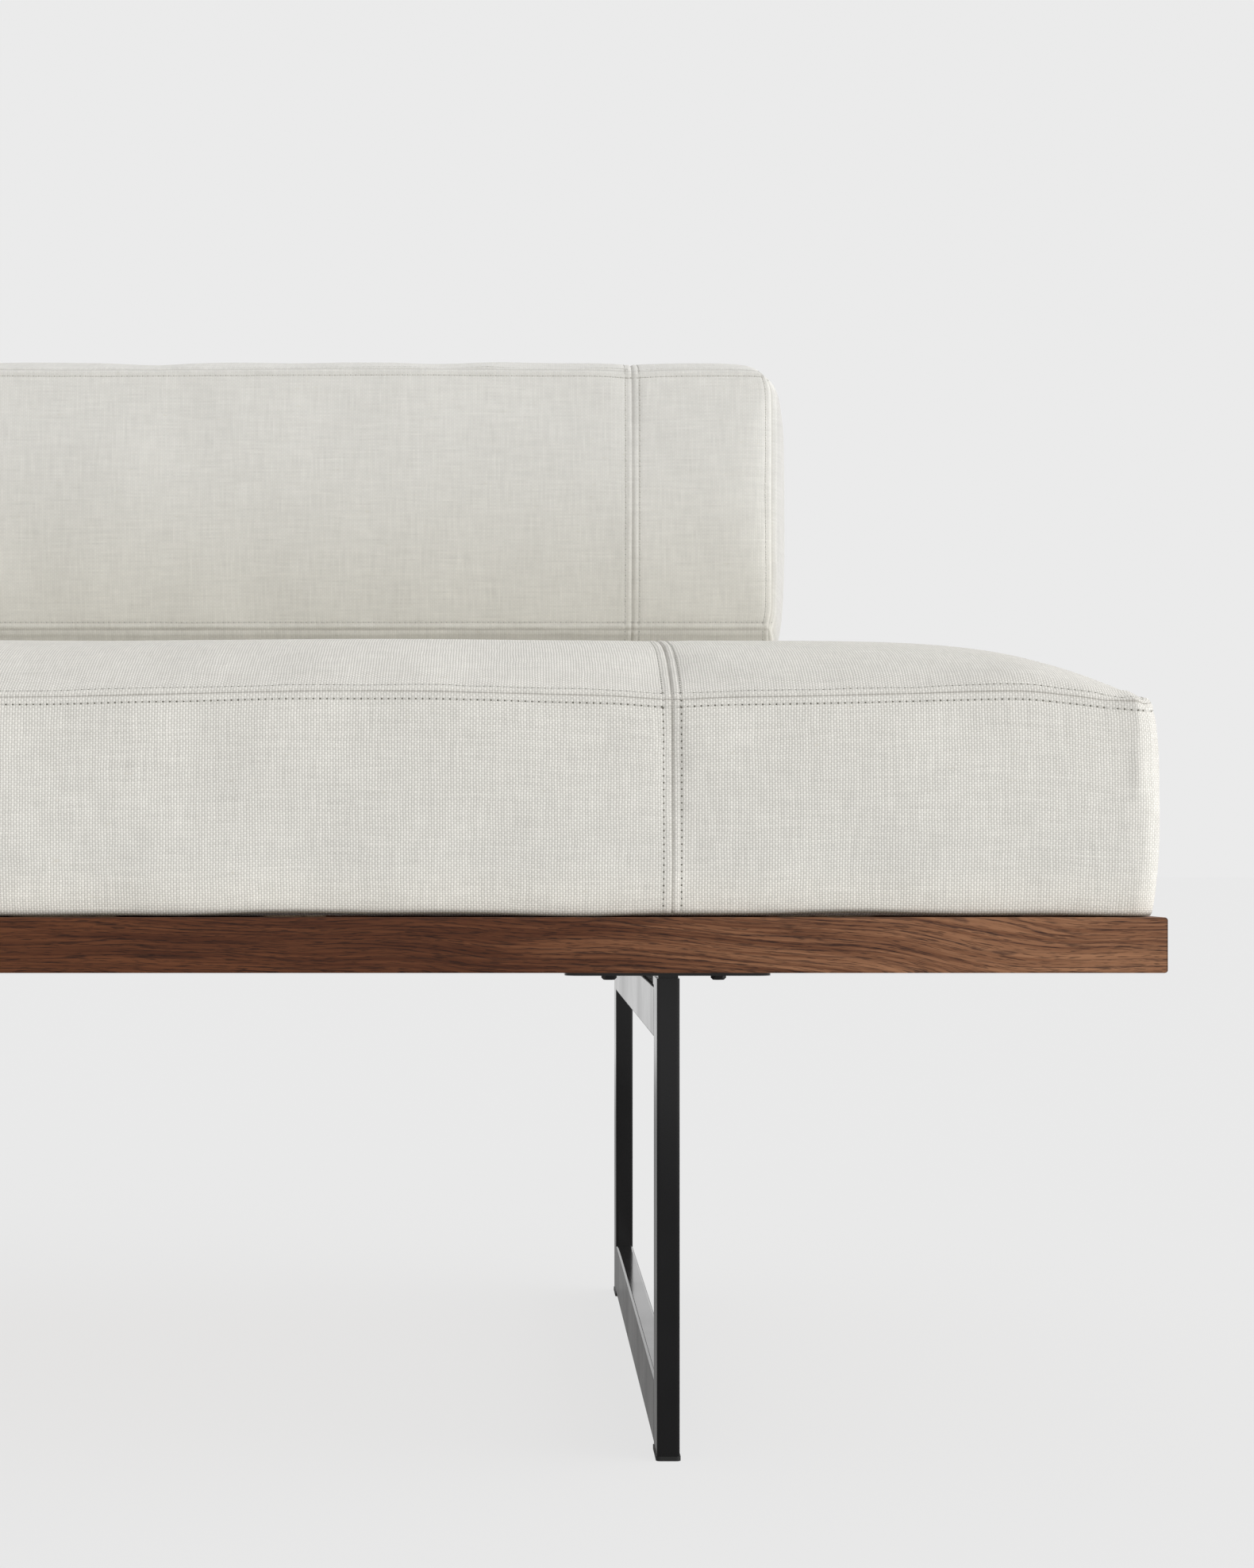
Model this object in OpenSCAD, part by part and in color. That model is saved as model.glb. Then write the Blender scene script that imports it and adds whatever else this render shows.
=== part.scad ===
// Daybed: a walnut platform on two steel sled frames, with a boxed seat cushion
// and a bolster that stands on it as the backrest.
// Millimetres. +X runs to the right end, -Y is the front, +Z is up.
// The origin is on the floor, under the middle of the platform.

/* [Platform] */
// Length of the walnut platform
platform_l = 2032; // [1500:1:2500]
// Depth of the walnut platform, front to back
platform_d = 762; // [600:1:950]
// Height of the platform's underside above the floor
underside_z = 270; // [200:1:400]
// Height of the walnut rails
rail_h = 30; // [26:1:60]
// Thickness of the walnut rails
rail_t = 45; // [36:1:60]
// Radius of the eased outer edges of the rails
rail_ease = 1.6; // [0.5:0.1:4]
// Width of the ledge that carries the slat ends
ledge_w = 15; // [10:1:20]

/* [Deck] */
// Number of slats
slat_count = 14; // [8:1:16]
// Width of a slat
slat_w = 80; // [50:1:90]
// Thickness of a slat
slat_t = 12; // [9:1:16]
// Gap between a slat's end and the back of its ledge
slat_gap = 1; // [0.5:0.5:3]
// Width of the two boards that the leg frames bolt to
bearer_w = 150; // [125:1:180]
// Width of the lengthwise spine boards
spine_w = 40; // [30:1:80]
// Leg length of the triangular corner blocks
corner_block = 60; // [40:1:90]
// Shank diameter of a deck screw
screw_d = 3.5; // [3:0.5:5]
// Length of a deck screw
screw_l = 22; // [18:1:24]
// Distance of the end screws from a slat's end
screw_inset = 7; // [5:1:9]

/* [Leg frames] */
// Distance from the platform's end to the middle of a leg frame
leg_inset = 267; // [200:1:400]
// Distance from the platform's front or rear edge to a leg's outer face
frame_setback = 38; // [15:1:100]
// Width of the frame tube, seen from the front
tube_w = 12.7; // [10:0.1:25]
// Depth of a leg tube, seen from the end
leg_tube_d = 38.1; // [25:0.1:60]
// Height of the top rail tube
top_tube_h = 29.5; // [20:0.5:50]
// Height of the bottom rail tube
base_tube_h = 36; // [20:0.5:50]
// Wall of the tubes
tube_wall = 2; // [1.2:0.1:3]
// Outer corner radius of the tubes
tube_r = 2; // [1:0.1:4]
// How far the top rail lies below the leg tops
top_drop = 5.5; // [2:0.5:12]
// Thickness of the glide under a leg
glide_t = 2.5; // [2:0.5:8]
// How far a glide stands out past the tube all round
glide_lip = 0.5; // [0:0.1:2]
// Depth of a glide's plug inside the leg
glide_plug = 14; // [8:1:30]

/* [Mounting plates] */
// Length of a plate, along the platform
plate_l = 114; // [90:1:120]
// Depth of a plate, front to back
plate_d = 100; // [70:1:140]
// Thickness of a plate
plate_t = 3; // [2:0.5:6]
// Corner radius of a plate
plate_r = 8; // [2:1:20]
// Distance between the two bolts of a plate
bolt_spacing = 62; // [40:1:80]
// Distance of the bolts behind the outer edge of a plate
bolt_setback = 50; // [20:1:60]
// Width of the riser between a leg frame and its plate
riser_w = 11; // [8:1:12]
// Length of the riser, front to back
riser_l = 62; // [50:1:90]
// Distance of the riser and plate behind the leg's outer face
riser_setback = 2; // [0:0.5:6]
// Thickness of the riser above the leg top
riser_t = 1.5; // [1:0.5:4]
// Shank diameter of a leg bolt
bolt_d = 6; // [5:1:8]
// Diameter of the bolt's flange
flange_d = 11.6; // [9:0.1:18]
// Thickness of the bolt's flange
flange_t = 1.2; // [0.8:0.1:2]
// Width of the bolt's hexagon across its flats
hex_af = 7.6; // [6:0.1:13]
// Height of the bolt's hexagon
hex_h = 2.9; // [2:0.1:6]
// Outside diameter of a threaded insert
insert_d = 10; // [8:0.5:12]
// Length of a threaded insert
insert_l = 13; // [8:1:16]

/* [Seat cushion] */
// Gap between the platform's end and the cushion's end
seat_end_gap = 2.5; // [1:0.5:30]
// Gap between the platform's front edge and the cushion's front
seat_front_gap = 3; // [1:0.5:30]
// Gap between the platform's rear edge and the cushion's rear
seat_rear_gap = 8; // [6:0.5:30]
// Height of the seat cushion's side band
seat_band = 120; // [60:1:160]
// Rise of the seat's crown above its top seam
seat_crown = 42; // [10:1:60]
// Bulge of the seat's side band
seat_bulge = 5; // [1:1:5]

/* [Bolster] */
// Length of the bolster between its end seams
bolster_l = 1699; // [1200:1:1900]
// Depth of the bolster between its front and rear seams
bolster_d = 184; // [140:1:300]
// Height of the bolster's band between its top and bottom seams
bolster_band = 186; // [120:1:260]
// Rise of the bolster's top above its top seam
bolster_top_crown = 17; // [5:1:40]
// Drop of the bolster's underside below its bottom seam
bolster_base_crown = 32; // [10:1:50]
// Bulge of the bolster's front and rear
bolster_bulge = 8; // [2:1:15]
// Bulge of the bolster's ends
bolster_end_bulge = 12; // [2:1:15]
// Distance from the platform's rear edge to the bolster's rear bulge
bolster_rear_gap = 17; // [5:1:200]

/* [Covers and zips] */
// Thickness of a cushion's cover
cover_t = 2; // [1:0.5:4]
// Length of the zip in the seat cover
seat_zip_l = 1500; // [600:10:1600]
// Length of the zip in the bolster cover
bolster_zip_l = 1200; // [600:10:1300]
// Width of a zip's tape
zip_w = 24; // [16:1:40]
// Thickness of a zip's tape
zip_t = 1; // [0.6:0.1:2]
// Length of a zip slider
slider_l = 12; // [8:1:20]
// Width of a zip slider
slider_w = 9; // [6:1:14]
// Thickness of a zip slider
slider_t = 2.4; // [1.5:0.1:3]

/* [Hidden] */
$fn = 48;
eps = 0.01;
fit_clear = 0.3;        // gap between pieces that come apart
bore_clear = 0.05;      // gap round a bolt in its insert
hole_clear = 0.3;       // gap round a bolt in its plate
screw_clear = 0.05;     // gap round a deck screw
bolt_short = 1;         // how far a bolt's end stops short of its insert's end
curve_steps = 10;       // points along each curved side of a cushion

// Platform levels and faces
top_z = underside_z + rail_h;
slat_z = top_z - slat_t;
board_h = rail_h - slat_t;
inner_x = platform_l / 2 - rail_t;
inner_y = platform_d / 2 - rail_t;
slat_pitch = 2 * inner_x / slat_count;
slat_l = 2 * (inner_y + ledge_w - slat_gap);
leg_x = platform_l / 2 - leg_inset;
screw_sink = 0.2;       // how far a screw's head lies below the deck's surface
screw_head_d = 2 * screw_d;
screw_head_h = screw_d / 2;

// Leg frame levels and faces
plate_z = underside_z - plate_t;
leg_top = plate_z - riser_t;
frame_y = platform_d / 2 - frame_setback;
leg_in_y = frame_y - leg_tube_d;
top_rail_z = leg_top - top_drop - top_tube_h;
riser_y = frame_y - riser_setback;
bolt_y = riser_y - bolt_setback;
bolt_grip = plate_t + insert_l - bolt_short;
seat_corner_r = 24;
bolster_corner_r = 16;
hex_chamfer = 0.6;
hex_r = hex_af / 2 / cos(30);
plug_r = 0.8;

// Seat cushion
seat_l = platform_l - 2 * seat_end_gap;
seat_d = platform_d - seat_front_gap - seat_rear_gap;
seat_y = (seat_front_gap - seat_rear_gap) / 2;
seat_top = top_z + seat_band + seat_crown;
seat_front_power = 4;
seat_rear_power = 9;
seat_end_power = 18;

// Bolster
bolster_y = platform_d / 2 - bolster_rear_gap - bolster_bulge - bolster_d / 2;
bolster_z = seat_top + fit_clear + bolster_base_crown;
bolster_top_power = 2.4;
bolster_base_power = 4;
bolster_end_power = 30;

SIDES = ["left", "right"];
ROWS = ["front", "rear"];
function side_sign(side) = side == "left" ? -1 : 1;
function row_sign(row) = row == "front" ? -1 : 1;
function slat_x(i) = -inner_x + slat_pitch * (i + 0.5);

SLATS = [for (i = [1:slat_count]) str("slat_", i)];
FRAME_NODES = [for (s = SIDES)
    for (n = ["front_leg", "rear_leg", "top_rail", "base_rail", "front_plate", "rear_plate",
              "front_riser", "rear_riser", "front_glide", "rear_glide"]) str(s, "_", n)];

WALNUT = [0.42, 0.27, 0.19];
BEECH = [0.78, 0.64, 0.46];
BLACK = [0.10, 0.10, 0.10];
STEEL = [0.6, 0.6, 0.6];
BRASS = [0.75, 0.6, 0.3];
SEAT_LINEN = [0.88, 0.87, 0.84];
BOLSTER_LINEN = [0.82, 0.81, 0.77];
FOAM = [0.93, 0.88, 0.72];

// ---- shared shapes ----

// A rectangle centred on the origin with round corners.
module round_rect(w, h, r) {
    square([w - 2 * r, h], center = true);
    square([w, h - 2 * r], center = true);
    for (sx = [-1, 1], sy = [-1, 1])
        translate([sx * (w / 2 - r), sy * (h / 2 - r)]) circle(r);
}

// A profile drawn in Y and Z, pushed out along X about the middle.
module along_x(l) {
    rotate([90, 0, 90]) linear_extrude(height = l, center = true) children();
}

// A profile drawn in X and Z, pushed out along Y about the middle.
module along_y(l) {
    rotate([90, 0, 0]) linear_extrude(height = l, center = true) children();
}

// A rectangular tube's section.
module tube_section(w, h) {
    difference() {
        round_rect(w, h, tube_r);
        round_rect(w - 2 * tube_wall, h - 2 * tube_wall, max(tube_r - tube_wall, 0.4));
    }
}

// ---- platform ----

// One long rail at the front (-1) or the rear (1), mitred at both ends.
module long_rail(s) {
    a = platform_l / 2;
    b = inner_x;
    mid_y = platform_d / 2 - rail_t / 2;
    color(WALNUT) difference() {
        intersection() {
            translate([0, s * mid_y, underside_z + rail_h / 2])
                along_x(platform_l) round_rect(rail_t, rail_h, rail_ease);
            translate([0, 0, underside_z]) linear_extrude(height = rail_h)
                polygon([[-a, s * platform_d / 2], [a, s * platform_d / 2],
                         [b, s * inner_y], [-b, s * inner_y]]);
            end_easing();
        }
        translate([-inner_x, s > 0 ? inner_y - eps : -inner_y - ledge_w, slat_z])
            cube([2 * inner_x, ledge_w + eps, slat_t + eps]);
        all_screw_holes();
    }
}

// The whole platform's envelope, with its ends' edges eased.
module end_easing() {
    translate([0, 0, underside_z + rail_h / 2])
        along_y(platform_d) round_rect(platform_l, rail_h, rail_ease);
}

// One end rail at the left (-1) or the right (1), mitred into the long rails.
module end_rail(s) {
    a = platform_d / 2;
    b = inner_y;
    x = platform_l / 2;
    color(WALNUT) intersection() {
        translate([s * (x - rail_t / 2), 0, underside_z + rail_h / 2])
            along_y(platform_d) round_rect(rail_t, rail_h, rail_ease);
        translate([0, 0, underside_z]) linear_extrude(height = rail_h)
            polygon([[s * x, -a], [s * x, a], [s * inner_x, b], [s * inner_x, -b]]);
        translate([0, 0, underside_z + rail_h / 2])
            along_x(platform_l) round_rect(platform_d, rail_h, rail_ease);
    }
}

// One board across the platform, which a leg frame bolts to.
module bearer(s) {
    color(BEECH) difference() {
        translate([s * leg_x - bearer_w / 2, -inner_y, underside_z])
            cube([bearer_w, 2 * inner_y, board_h]);
        at_leg_bolts() translate([0, 0, underside_z - eps])
            cylinder(d = insert_d, h = insert_l + eps);
        all_screw_holes();
    }
}

// A lengthwise board under the slats, from x0 to x1.
module spine(x0, x1) {
    color(BEECH) difference() {
        translate([x0, -spine_w / 2, underside_z]) cube([x1 - x0, spine_w, board_h]);
        all_screw_holes();
    }
}

// The four glued blocks that hold the mitred corners.
module corner_blocks() {
    color(BEECH) for (sx = [-1, 1], sy = [-1, 1])
        translate([sx * inner_x, sy * inner_y, underside_z]) linear_extrude(height = board_h)
            polygon([[0, 0], [-sx * corner_block, 0], [0, -sy * corner_block]]);
}

// One slat across the deck.
module slat(i) {
    color(BEECH) difference() {
        translate([slat_x(i) - slat_w / 2, -slat_l / 2, slat_z]) cube([slat_w, slat_l, slat_t]);
        at_slat_screws(i) deck_screw_hole();
    }
}

// A countersunk screw, head up, its top at the origin.
module deck_screw() {
    rotate_extrude() polygon([
        [0, -screw_l], [screw_d / 2, -screw_l], [screw_d / 2, -screw_head_h],
        [screw_head_d / 2, 0], [0, 0]]);
}

// The hole for a deck screw, open at the deck's surface.
module deck_screw_hole() {
    r = screw_d / 2 + screw_clear;
    head_r = screw_head_d / 2 + screw_clear;
    rotate_extrude() polygon([
        [0, -screw_l - screw_clear], [r, -screw_l - screw_clear], [r, -screw_head_h],
        [head_r, 0], [head_r, screw_sink + eps], [0, screw_sink + eps]]);
}

// Places its children at the three screws of slat i.
module at_slat_screws(i) {
    for (y = [-1, 0, 1])
        translate([slat_x(i), y * (slat_l / 2 - screw_inset), top_z - screw_sink]) children();
}

module all_screw_holes() {
    for (i = [0:slat_count - 1]) at_slat_screws(i) deck_screw_hole();
}

// ---- leg frames ----

// One leg tube, s for left or right and r for front or rear.
module leg(s, r) {
    color(BLACK) translate([s * leg_x, r * (frame_y - leg_tube_d / 2), glide_t])
        linear_extrude(height = leg_top - glide_t) tube_section(tube_w, leg_tube_d);
}

// A rail tube between the two legs, with its lower face at z.
module frame_rail(s, z, h) {
    color(BLACK) translate([s * leg_x, 0, z + h / 2])
        along_y(2 * leg_in_y) tube_section(tube_w, h);
}

// The welded block that lifts a plate clear of the frame.
module riser(s, r) {
    rail_top = top_rail_z + top_tube_h;
    long_y = riser_l - (leg_tube_d - riser_setback);
    color(BLACK) union() {
        translate([s * leg_x - riser_w / 2, r > 0 ? riser_y - riser_l : -riser_y, leg_top])
            cube([riser_w, riser_l, riser_t]);
        translate([s * leg_x - riser_w / 2, r > 0 ? leg_in_y - long_y : -leg_in_y, rail_top])
            cube([riser_w, long_y, leg_top - rail_top + eps]);
    }
}

// A mounting plate, with its two bolt holes.
module plate(s, r) {
    color(BLACK) difference() {
        translate([s * leg_x, r * (riser_y - plate_d / 2), plate_z])
            linear_extrude(height = plate_t) round_rect(plate_l, plate_d, plate_r);
        at_leg_bolts() translate([0, 0, plate_z - eps])
            cylinder(d = bolt_d + 2 * hole_clear, h = plate_t + 2 * eps);
    }
}

// Places its children at each of the eight bolt axes.
module at_leg_bolts() {
    for (s = [-1, 1], r = [-1, 1], k = [-1, 1])
        translate([s * leg_x + k * bolt_spacing / 2, r * bolt_y, 0]) children();
}

// The flanged hexagon bolts, heads down under the plates.
module leg_bolts() {
    color(BLACK) at_leg_bolts() {
        translate([0, 0, plate_z - flange_t]) cylinder(d = flange_d, h = flange_t);
        translate([0, 0, plate_z - flange_t - hex_h])
            intersection() {
                cylinder(r = hex_r, h = hex_h + eps, $fn = 6);
                rotate_extrude() polygon([[0, 0], [hex_af / 2 - hex_chamfer, 0],
                    [hex_r, 2 * hex_chamfer], [hex_r, hex_h + eps], [0, hex_h + eps]]);
            }
        translate([0, 0, plate_z - eps]) cylinder(d = bolt_d, h = bolt_grip + eps);
    }
}

// The brass inserts that the bolts screw into.
module threaded_inserts() {
    color(BRASS) at_leg_bolts() translate([0, 0, underside_z]) difference() {
        cylinder(d = insert_d, h = insert_l);
        translate([0, 0, -eps]) cylinder(d = bolt_d + 2 * bore_clear, h = insert_l + 2 * eps);
    }
}

// The push-in glide under one leg.
module glide(s, r) {
    plug_w = tube_w - 2 * tube_wall - 2 * bore_clear;
    plug_d = leg_tube_d - 2 * tube_wall - 2 * bore_clear;
    color(BLACK) translate([s * leg_x, r * (frame_y - leg_tube_d / 2), 0]) {
        linear_extrude(height = glide_t)
            round_rect(tube_w + 2 * glide_lip, leg_tube_d + 2 * glide_lip, tube_r + glide_lip);
        translate([0, 0, glide_t - eps])
            linear_extrude(height = glide_plug + eps) round_rect(plug_w, plug_d, plug_r);
    }
}

// ---- cushions ----

// Points from -1 to 1, closer together near the ends.
function spread(n) = [for (k = [0:n]) -cos(180 * k / n)];

// An outline w wide whose side band is h high. The top swells by top and the
// underside by base; pf and pr say how square the top is to the left and right.
function cushion_outline(w, h, bulge, top, base, pf, pr, pb) = concat(
    [for (t = spread(2 * curve_steps))
        [t * w / 2, h + top * (1 - pow(abs(t), t < 0 ? pf : pr))]],
    [for (t = spread(curve_steps)) if (abs(t) < 1)
        [w / 2 + bulge * (1 - t * t), h * (1 - t) / 2]],
    base > 0
        ? [for (t = spread(curve_steps)) [-t * w / 2, -base * (1 - pow(abs(t), pb))]]
        : [[w / 2, 0], [-w / 2, 0]],
    [for (t = spread(curve_steps)) if (abs(t) < 1)
        [-w / 2 - bulge * (1 - t * t), h * (1 + t) / 2]]);

// The seat cushion's form, drawn in by inset all round.
module seat_form(inset) {
    l = seat_l - 2 * seat_bulge - 2 * inset;
    d = seat_d - 2 * seat_bulge - 2 * inset;
    h = seat_band - 2 * inset;
    translate([0, seat_y, top_z + inset]) intersection() {
        along_x(2 * seat_l) polygon(cushion_outline(d, h, seat_bulge, seat_crown, 0,
            seat_front_power, seat_rear_power, 1));
        along_y(2 * seat_d) polygon(cushion_outline(l, h, seat_bulge, seat_crown, 0,
            seat_end_power, seat_end_power, 1));
        linear_extrude(height = h + seat_crown)
            round_rect(l + 2 * seat_bulge, d + 2 * seat_bulge, seat_corner_r);
    }
}

// The bolster's form, drawn in by inset all round.
module bolster_form(inset) {
    l = bolster_l - 2 * inset;
    d = bolster_d - 2 * inset;
    h = bolster_band - 2 * inset;
    translate([0, bolster_y, bolster_z + inset]) intersection() {
        along_x(2 * bolster_l) polygon(cushion_outline(d, h, bolster_bulge, bolster_top_crown,
            bolster_base_crown, bolster_top_power, bolster_top_power, bolster_base_power));
        along_y(2 * bolster_d) polygon(cushion_outline(l, h, bolster_end_bulge, bolster_top_crown,
            bolster_base_crown, bolster_end_power, bolster_end_power, bolster_end_power));
        translate([0, 0, -bolster_base_crown])
            linear_extrude(height = h + bolster_top_crown + bolster_base_crown)
                round_rect(l + 2 * bolster_end_bulge, d + 2 * bolster_bulge, bolster_corner_r);
    }
}

module seat_cover() {
    color(SEAT_LINEN) difference() {
        seat_form(0);
        seat_form(cover_t);
    }
}

module seat_core() {
    color(FOAM) seat_form(cover_t + fit_clear);
}

module bolster_cover() {
    color(BOLSTER_LINEN) difference() {
        bolster_form(0);
        bolster_form(cover_t);
    }
}

module bolster_core() {
    color(FOAM) bolster_form(cover_t + fit_clear);
}

// A zip's tape, flat against a rear face at y, centred at height z.
module zip_tape(l, y, z) {
    translate([-l / 2, y, z - zip_w / 2]) cube([l, zip_t, zip_w]);
}

// A zip's slider at the closed end of its tape.
module zip_slider(l, y, z) {
    translate([l / 2 - slider_l, y + zip_t + fit_clear, z])
        rotate([-90, 0, 0]) linear_extrude(height = slider_t)
            translate([slider_l / 2, 0]) round_rect(slider_l, slider_w, slider_w / 4);
}

seat_zip_y = seat_y + seat_d / 2 + fit_clear / 3;
seat_zip_z = top_z + seat_band / 2;
bolster_zip_y = bolster_y + bolster_d / 2 + bolster_bulge + fit_clear / 3;
bolster_zip_z = bolster_z + bolster_band / 2;

// ---- assembly ----

long_rail(-1);  // front_rail
long_rail(1);  // rear_rail
end_rail(-1);  // left_end_rail
end_rail(1);  // right_end_rail
bearer(-1);  // left_bearer
bearer(1);  // right_bearer
spine(-inner_x, -leg_x - bearer_w / 2);  // left_spine
spine(-leg_x + bearer_w / 2, leg_x - bearer_w / 2);  // centre_spine
spine(leg_x + bearer_w / 2, inner_x);  // right_spine
corner_blocks();
color(STEEL) for (i = [0:slat_count - 1]) at_slat_screws(i) deck_screw();  // deck_screws
leg_bolts();
threaded_inserts();
for (i = [0:slat_count - 1])
    slat(i);
for (side = SIDES) {
    s = side_sign(side);
    for (row = ROWS) {
        r = row_sign(row);
        leg(s, r);
        plate(s, r);
        riser(s, r);
        glide(s, r);
    }
    frame_rail(s, top_rail_z, top_tube_h);
    frame_rail(s, glide_t, base_tube_h);
}
seat_cover();
seat_core();
color(SEAT_LINEN) zip_tape(seat_zip_l, seat_zip_y, seat_zip_z);  // seat_zip_tape
color(STEEL) zip_slider(seat_zip_l, seat_zip_y, seat_zip_z);  // seat_zip_slider
bolster_cover();
bolster_core();
color(BOLSTER_LINEN) zip_tape(bolster_zip_l, bolster_zip_y, bolster_zip_z);  // bolster_zip_tape
color(STEEL) zip_slider(bolster_zip_l, bolster_zip_y, bolster_zip_z);  // bolster_zip_slider
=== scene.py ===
import math

import bpy
import numpy as np
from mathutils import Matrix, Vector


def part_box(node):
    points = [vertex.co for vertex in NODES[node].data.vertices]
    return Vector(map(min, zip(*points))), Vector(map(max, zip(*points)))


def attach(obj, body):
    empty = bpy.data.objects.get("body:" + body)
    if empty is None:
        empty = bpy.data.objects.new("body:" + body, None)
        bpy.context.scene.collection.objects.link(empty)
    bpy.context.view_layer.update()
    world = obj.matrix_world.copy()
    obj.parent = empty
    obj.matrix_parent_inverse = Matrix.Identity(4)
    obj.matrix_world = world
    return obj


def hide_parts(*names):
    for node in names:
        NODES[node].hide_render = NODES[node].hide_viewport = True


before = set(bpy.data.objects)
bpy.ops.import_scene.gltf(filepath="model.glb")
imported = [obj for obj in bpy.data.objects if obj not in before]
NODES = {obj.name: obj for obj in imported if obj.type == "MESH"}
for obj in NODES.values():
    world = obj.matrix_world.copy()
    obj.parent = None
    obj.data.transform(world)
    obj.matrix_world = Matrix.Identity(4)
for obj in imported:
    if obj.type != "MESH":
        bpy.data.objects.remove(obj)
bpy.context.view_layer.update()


# ---------------------------------------------------------------- small tools

def smooth(t):
    """A soft step from 0 to 1 as t goes from 0 to 1."""
    t = np.clip(t, 0.0, 1.0)
    return t * t * (3.0 - 2.0 * t)


def rise(u, width):
    """Climbs quickly from 0 at a seam to 1 well away from it."""
    return 1.0 - np.exp(-np.maximum(u, 0.0) / width)


def lattice(i, j, k, seed):
    n = (i * 374761393 + j * 668265263 + k * 2147483647 + seed * 1274126177) & 0xFFFFFFFF
    n = ((n ^ (n >> 13)) * 1274126177) & 0xFFFFFFFF
    return ((n ^ (n >> 16)) & 0xFFFF) / 32767.5 - 1.0


def ripple_noise(points, size, seed):
    """Soft noise from -1 to 1 whose lumps are about size across, per axis."""
    q = points / np.asarray(size, float)
    cell = np.floor(q).astype(np.int64)
    f = smooth(q - cell)
    total = 0.0
    for a in (0, 1):
        for b in (0, 1):
            for c in (0, 1):
                w = (f[:, 0] if a else 1 - f[:, 0]) * (f[:, 1] if b else 1 - f[:, 1])
                w = w * (f[:, 2] if c else 1 - f[:, 2])
                total = total + w * lattice(cell[:, 0] + a, cell[:, 1] + b, cell[:, 2] + c, seed)
    return total


def graded(marks, fine, coarse, growth=1.35):
    """Grid lines through every mark, close together beside the marks and wider between them."""
    lines = {round(float(m), 7) for m in marks}
    for a, b in zip(marks, marks[1:]):
        steps, place, step = [], 0.0, fine
        while place + step < (b - a) / 2:
            place += step
            steps.append(place)
            step = min(step * growth, coarse)
        if steps and (b - a) - 2 * steps[-1] < 0.4 * fine:
            steps.pop()
        lines |= {round(a + s, 7) for s in steps} | {round(b - s, 7) for s in steps}
        reach = steps[-1] if steps else 0.0
        if (b - a) - 2 * reach > 1.3 * step:
            lines.add(round((a + b) / 2, 7))
    return sorted(lines)


class BoxGrid:
    """A closed box of quads on given grid lines."""

    def __init__(self, xs, ys, zs):
        self.xs, self.ys, self.zs = (np.array(v, float) for v in (xs, ys, zs))
        shape = (len(xs), len(ys), len(zs))
        i, j, k = np.indices(shape)
        outer = (i == 0) | (i == shape[0] - 1) | (j == 0) | (j == shape[1] - 1)
        outer |= (k == 0) | (k == shape[2] - 1)
        self.at = np.full(shape, -1)
        self.at[outer] = np.arange(outer.sum())
        self.rest = np.stack([self.xs[i[outer]], self.ys[j[outer]], self.zs[k[outer]]], 1)
        at = self.at
        sides = [(at[:, :, -1], (0, 1)), (at[:, :, 0].T, (0, 1)), (at[:, 0, :], (0, 2)),
                 (at[:, -1, :].T, (0, 2)), (at[-1], (1, 2)), (at[0].T, (1, 2))]
        quads, flat = [], []
        for a, axes in sides:
            q = np.stack([a[:-1, :-1], a[1:, :-1], a[1:, 1:], a[:-1, 1:]], -1).reshape(-1, 4)
            quads.append(q)
            flat.append(self.rest[q.ravel()][:, list(axes)])
        self.quads = np.concatenate(quads)
        self.flat = np.concatenate(flat)

    def near(self, axis, value):
        return int(np.argmin(np.abs((self.xs, self.ys, self.zs)[axis] - value)))

    def ring(self, inset=None, height=None):
        """The closed line on the top that far in from its edge, or round the sides at a height."""
        if height is None:
            i0, i1 = self.near(0, self.xs[0] + inset), self.near(0, self.xs[-1] - inset)
            j0, j1 = self.near(1, self.ys[0] + inset), self.near(1, self.ys[-1] - inset)
            k = len(self.zs) - 1
        else:
            i0, i1, j0, j1, k = 0, len(self.xs) - 1, 0, len(self.ys) - 1, self.near(2, height)
        return np.concatenate([self.at[i0:i1, j0, k], self.at[i1, j0:j1, k],
                               self.at[i1:i0:-1, j1, k], self.at[i0, j1:j0:-1, k]])

    def hoop(self, x, base=False):
        """The line over front, top and rear at one place along the piece; with base, all the way round."""
        i = self.near(0, x)
        over = np.concatenate([self.at[i, 0, :-1], self.at[i, :-1, -1], self.at[i, -1, :0:-1]])
        if base:
            return np.concatenate([over, self.at[i, :0:-1, 0]])
        return np.concatenate([over, self.at[i, -1, :1]])


def normals_of(points, quads):
    a = points[quads[:, 2]] - points[quads[:, 0]]
    b = points[quads[:, 3]] - points[quads[:, 1]]
    n = np.cross(a, b)
    out = np.zeros_like(points)
    for c in range(4):
        np.add.at(out, quads[:, c], n)
    return out / np.maximum(np.linalg.norm(out, axis=1, keepdims=True), 1e-12)


def averaged(values, quads, rounds):
    """Values per corner, evened out between neighbours."""
    count = np.zeros(len(values))
    for c in range(4):
        np.add.at(count, quads[:, c], 1.0)
    for _ in range(rounds):
        middle = values[quads].mean(1)
        total = np.zeros_like(values)
        for c in range(4):
            np.add.at(total, quads[:, c], middle)
        values = total / count[:, None]
    return values


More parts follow.
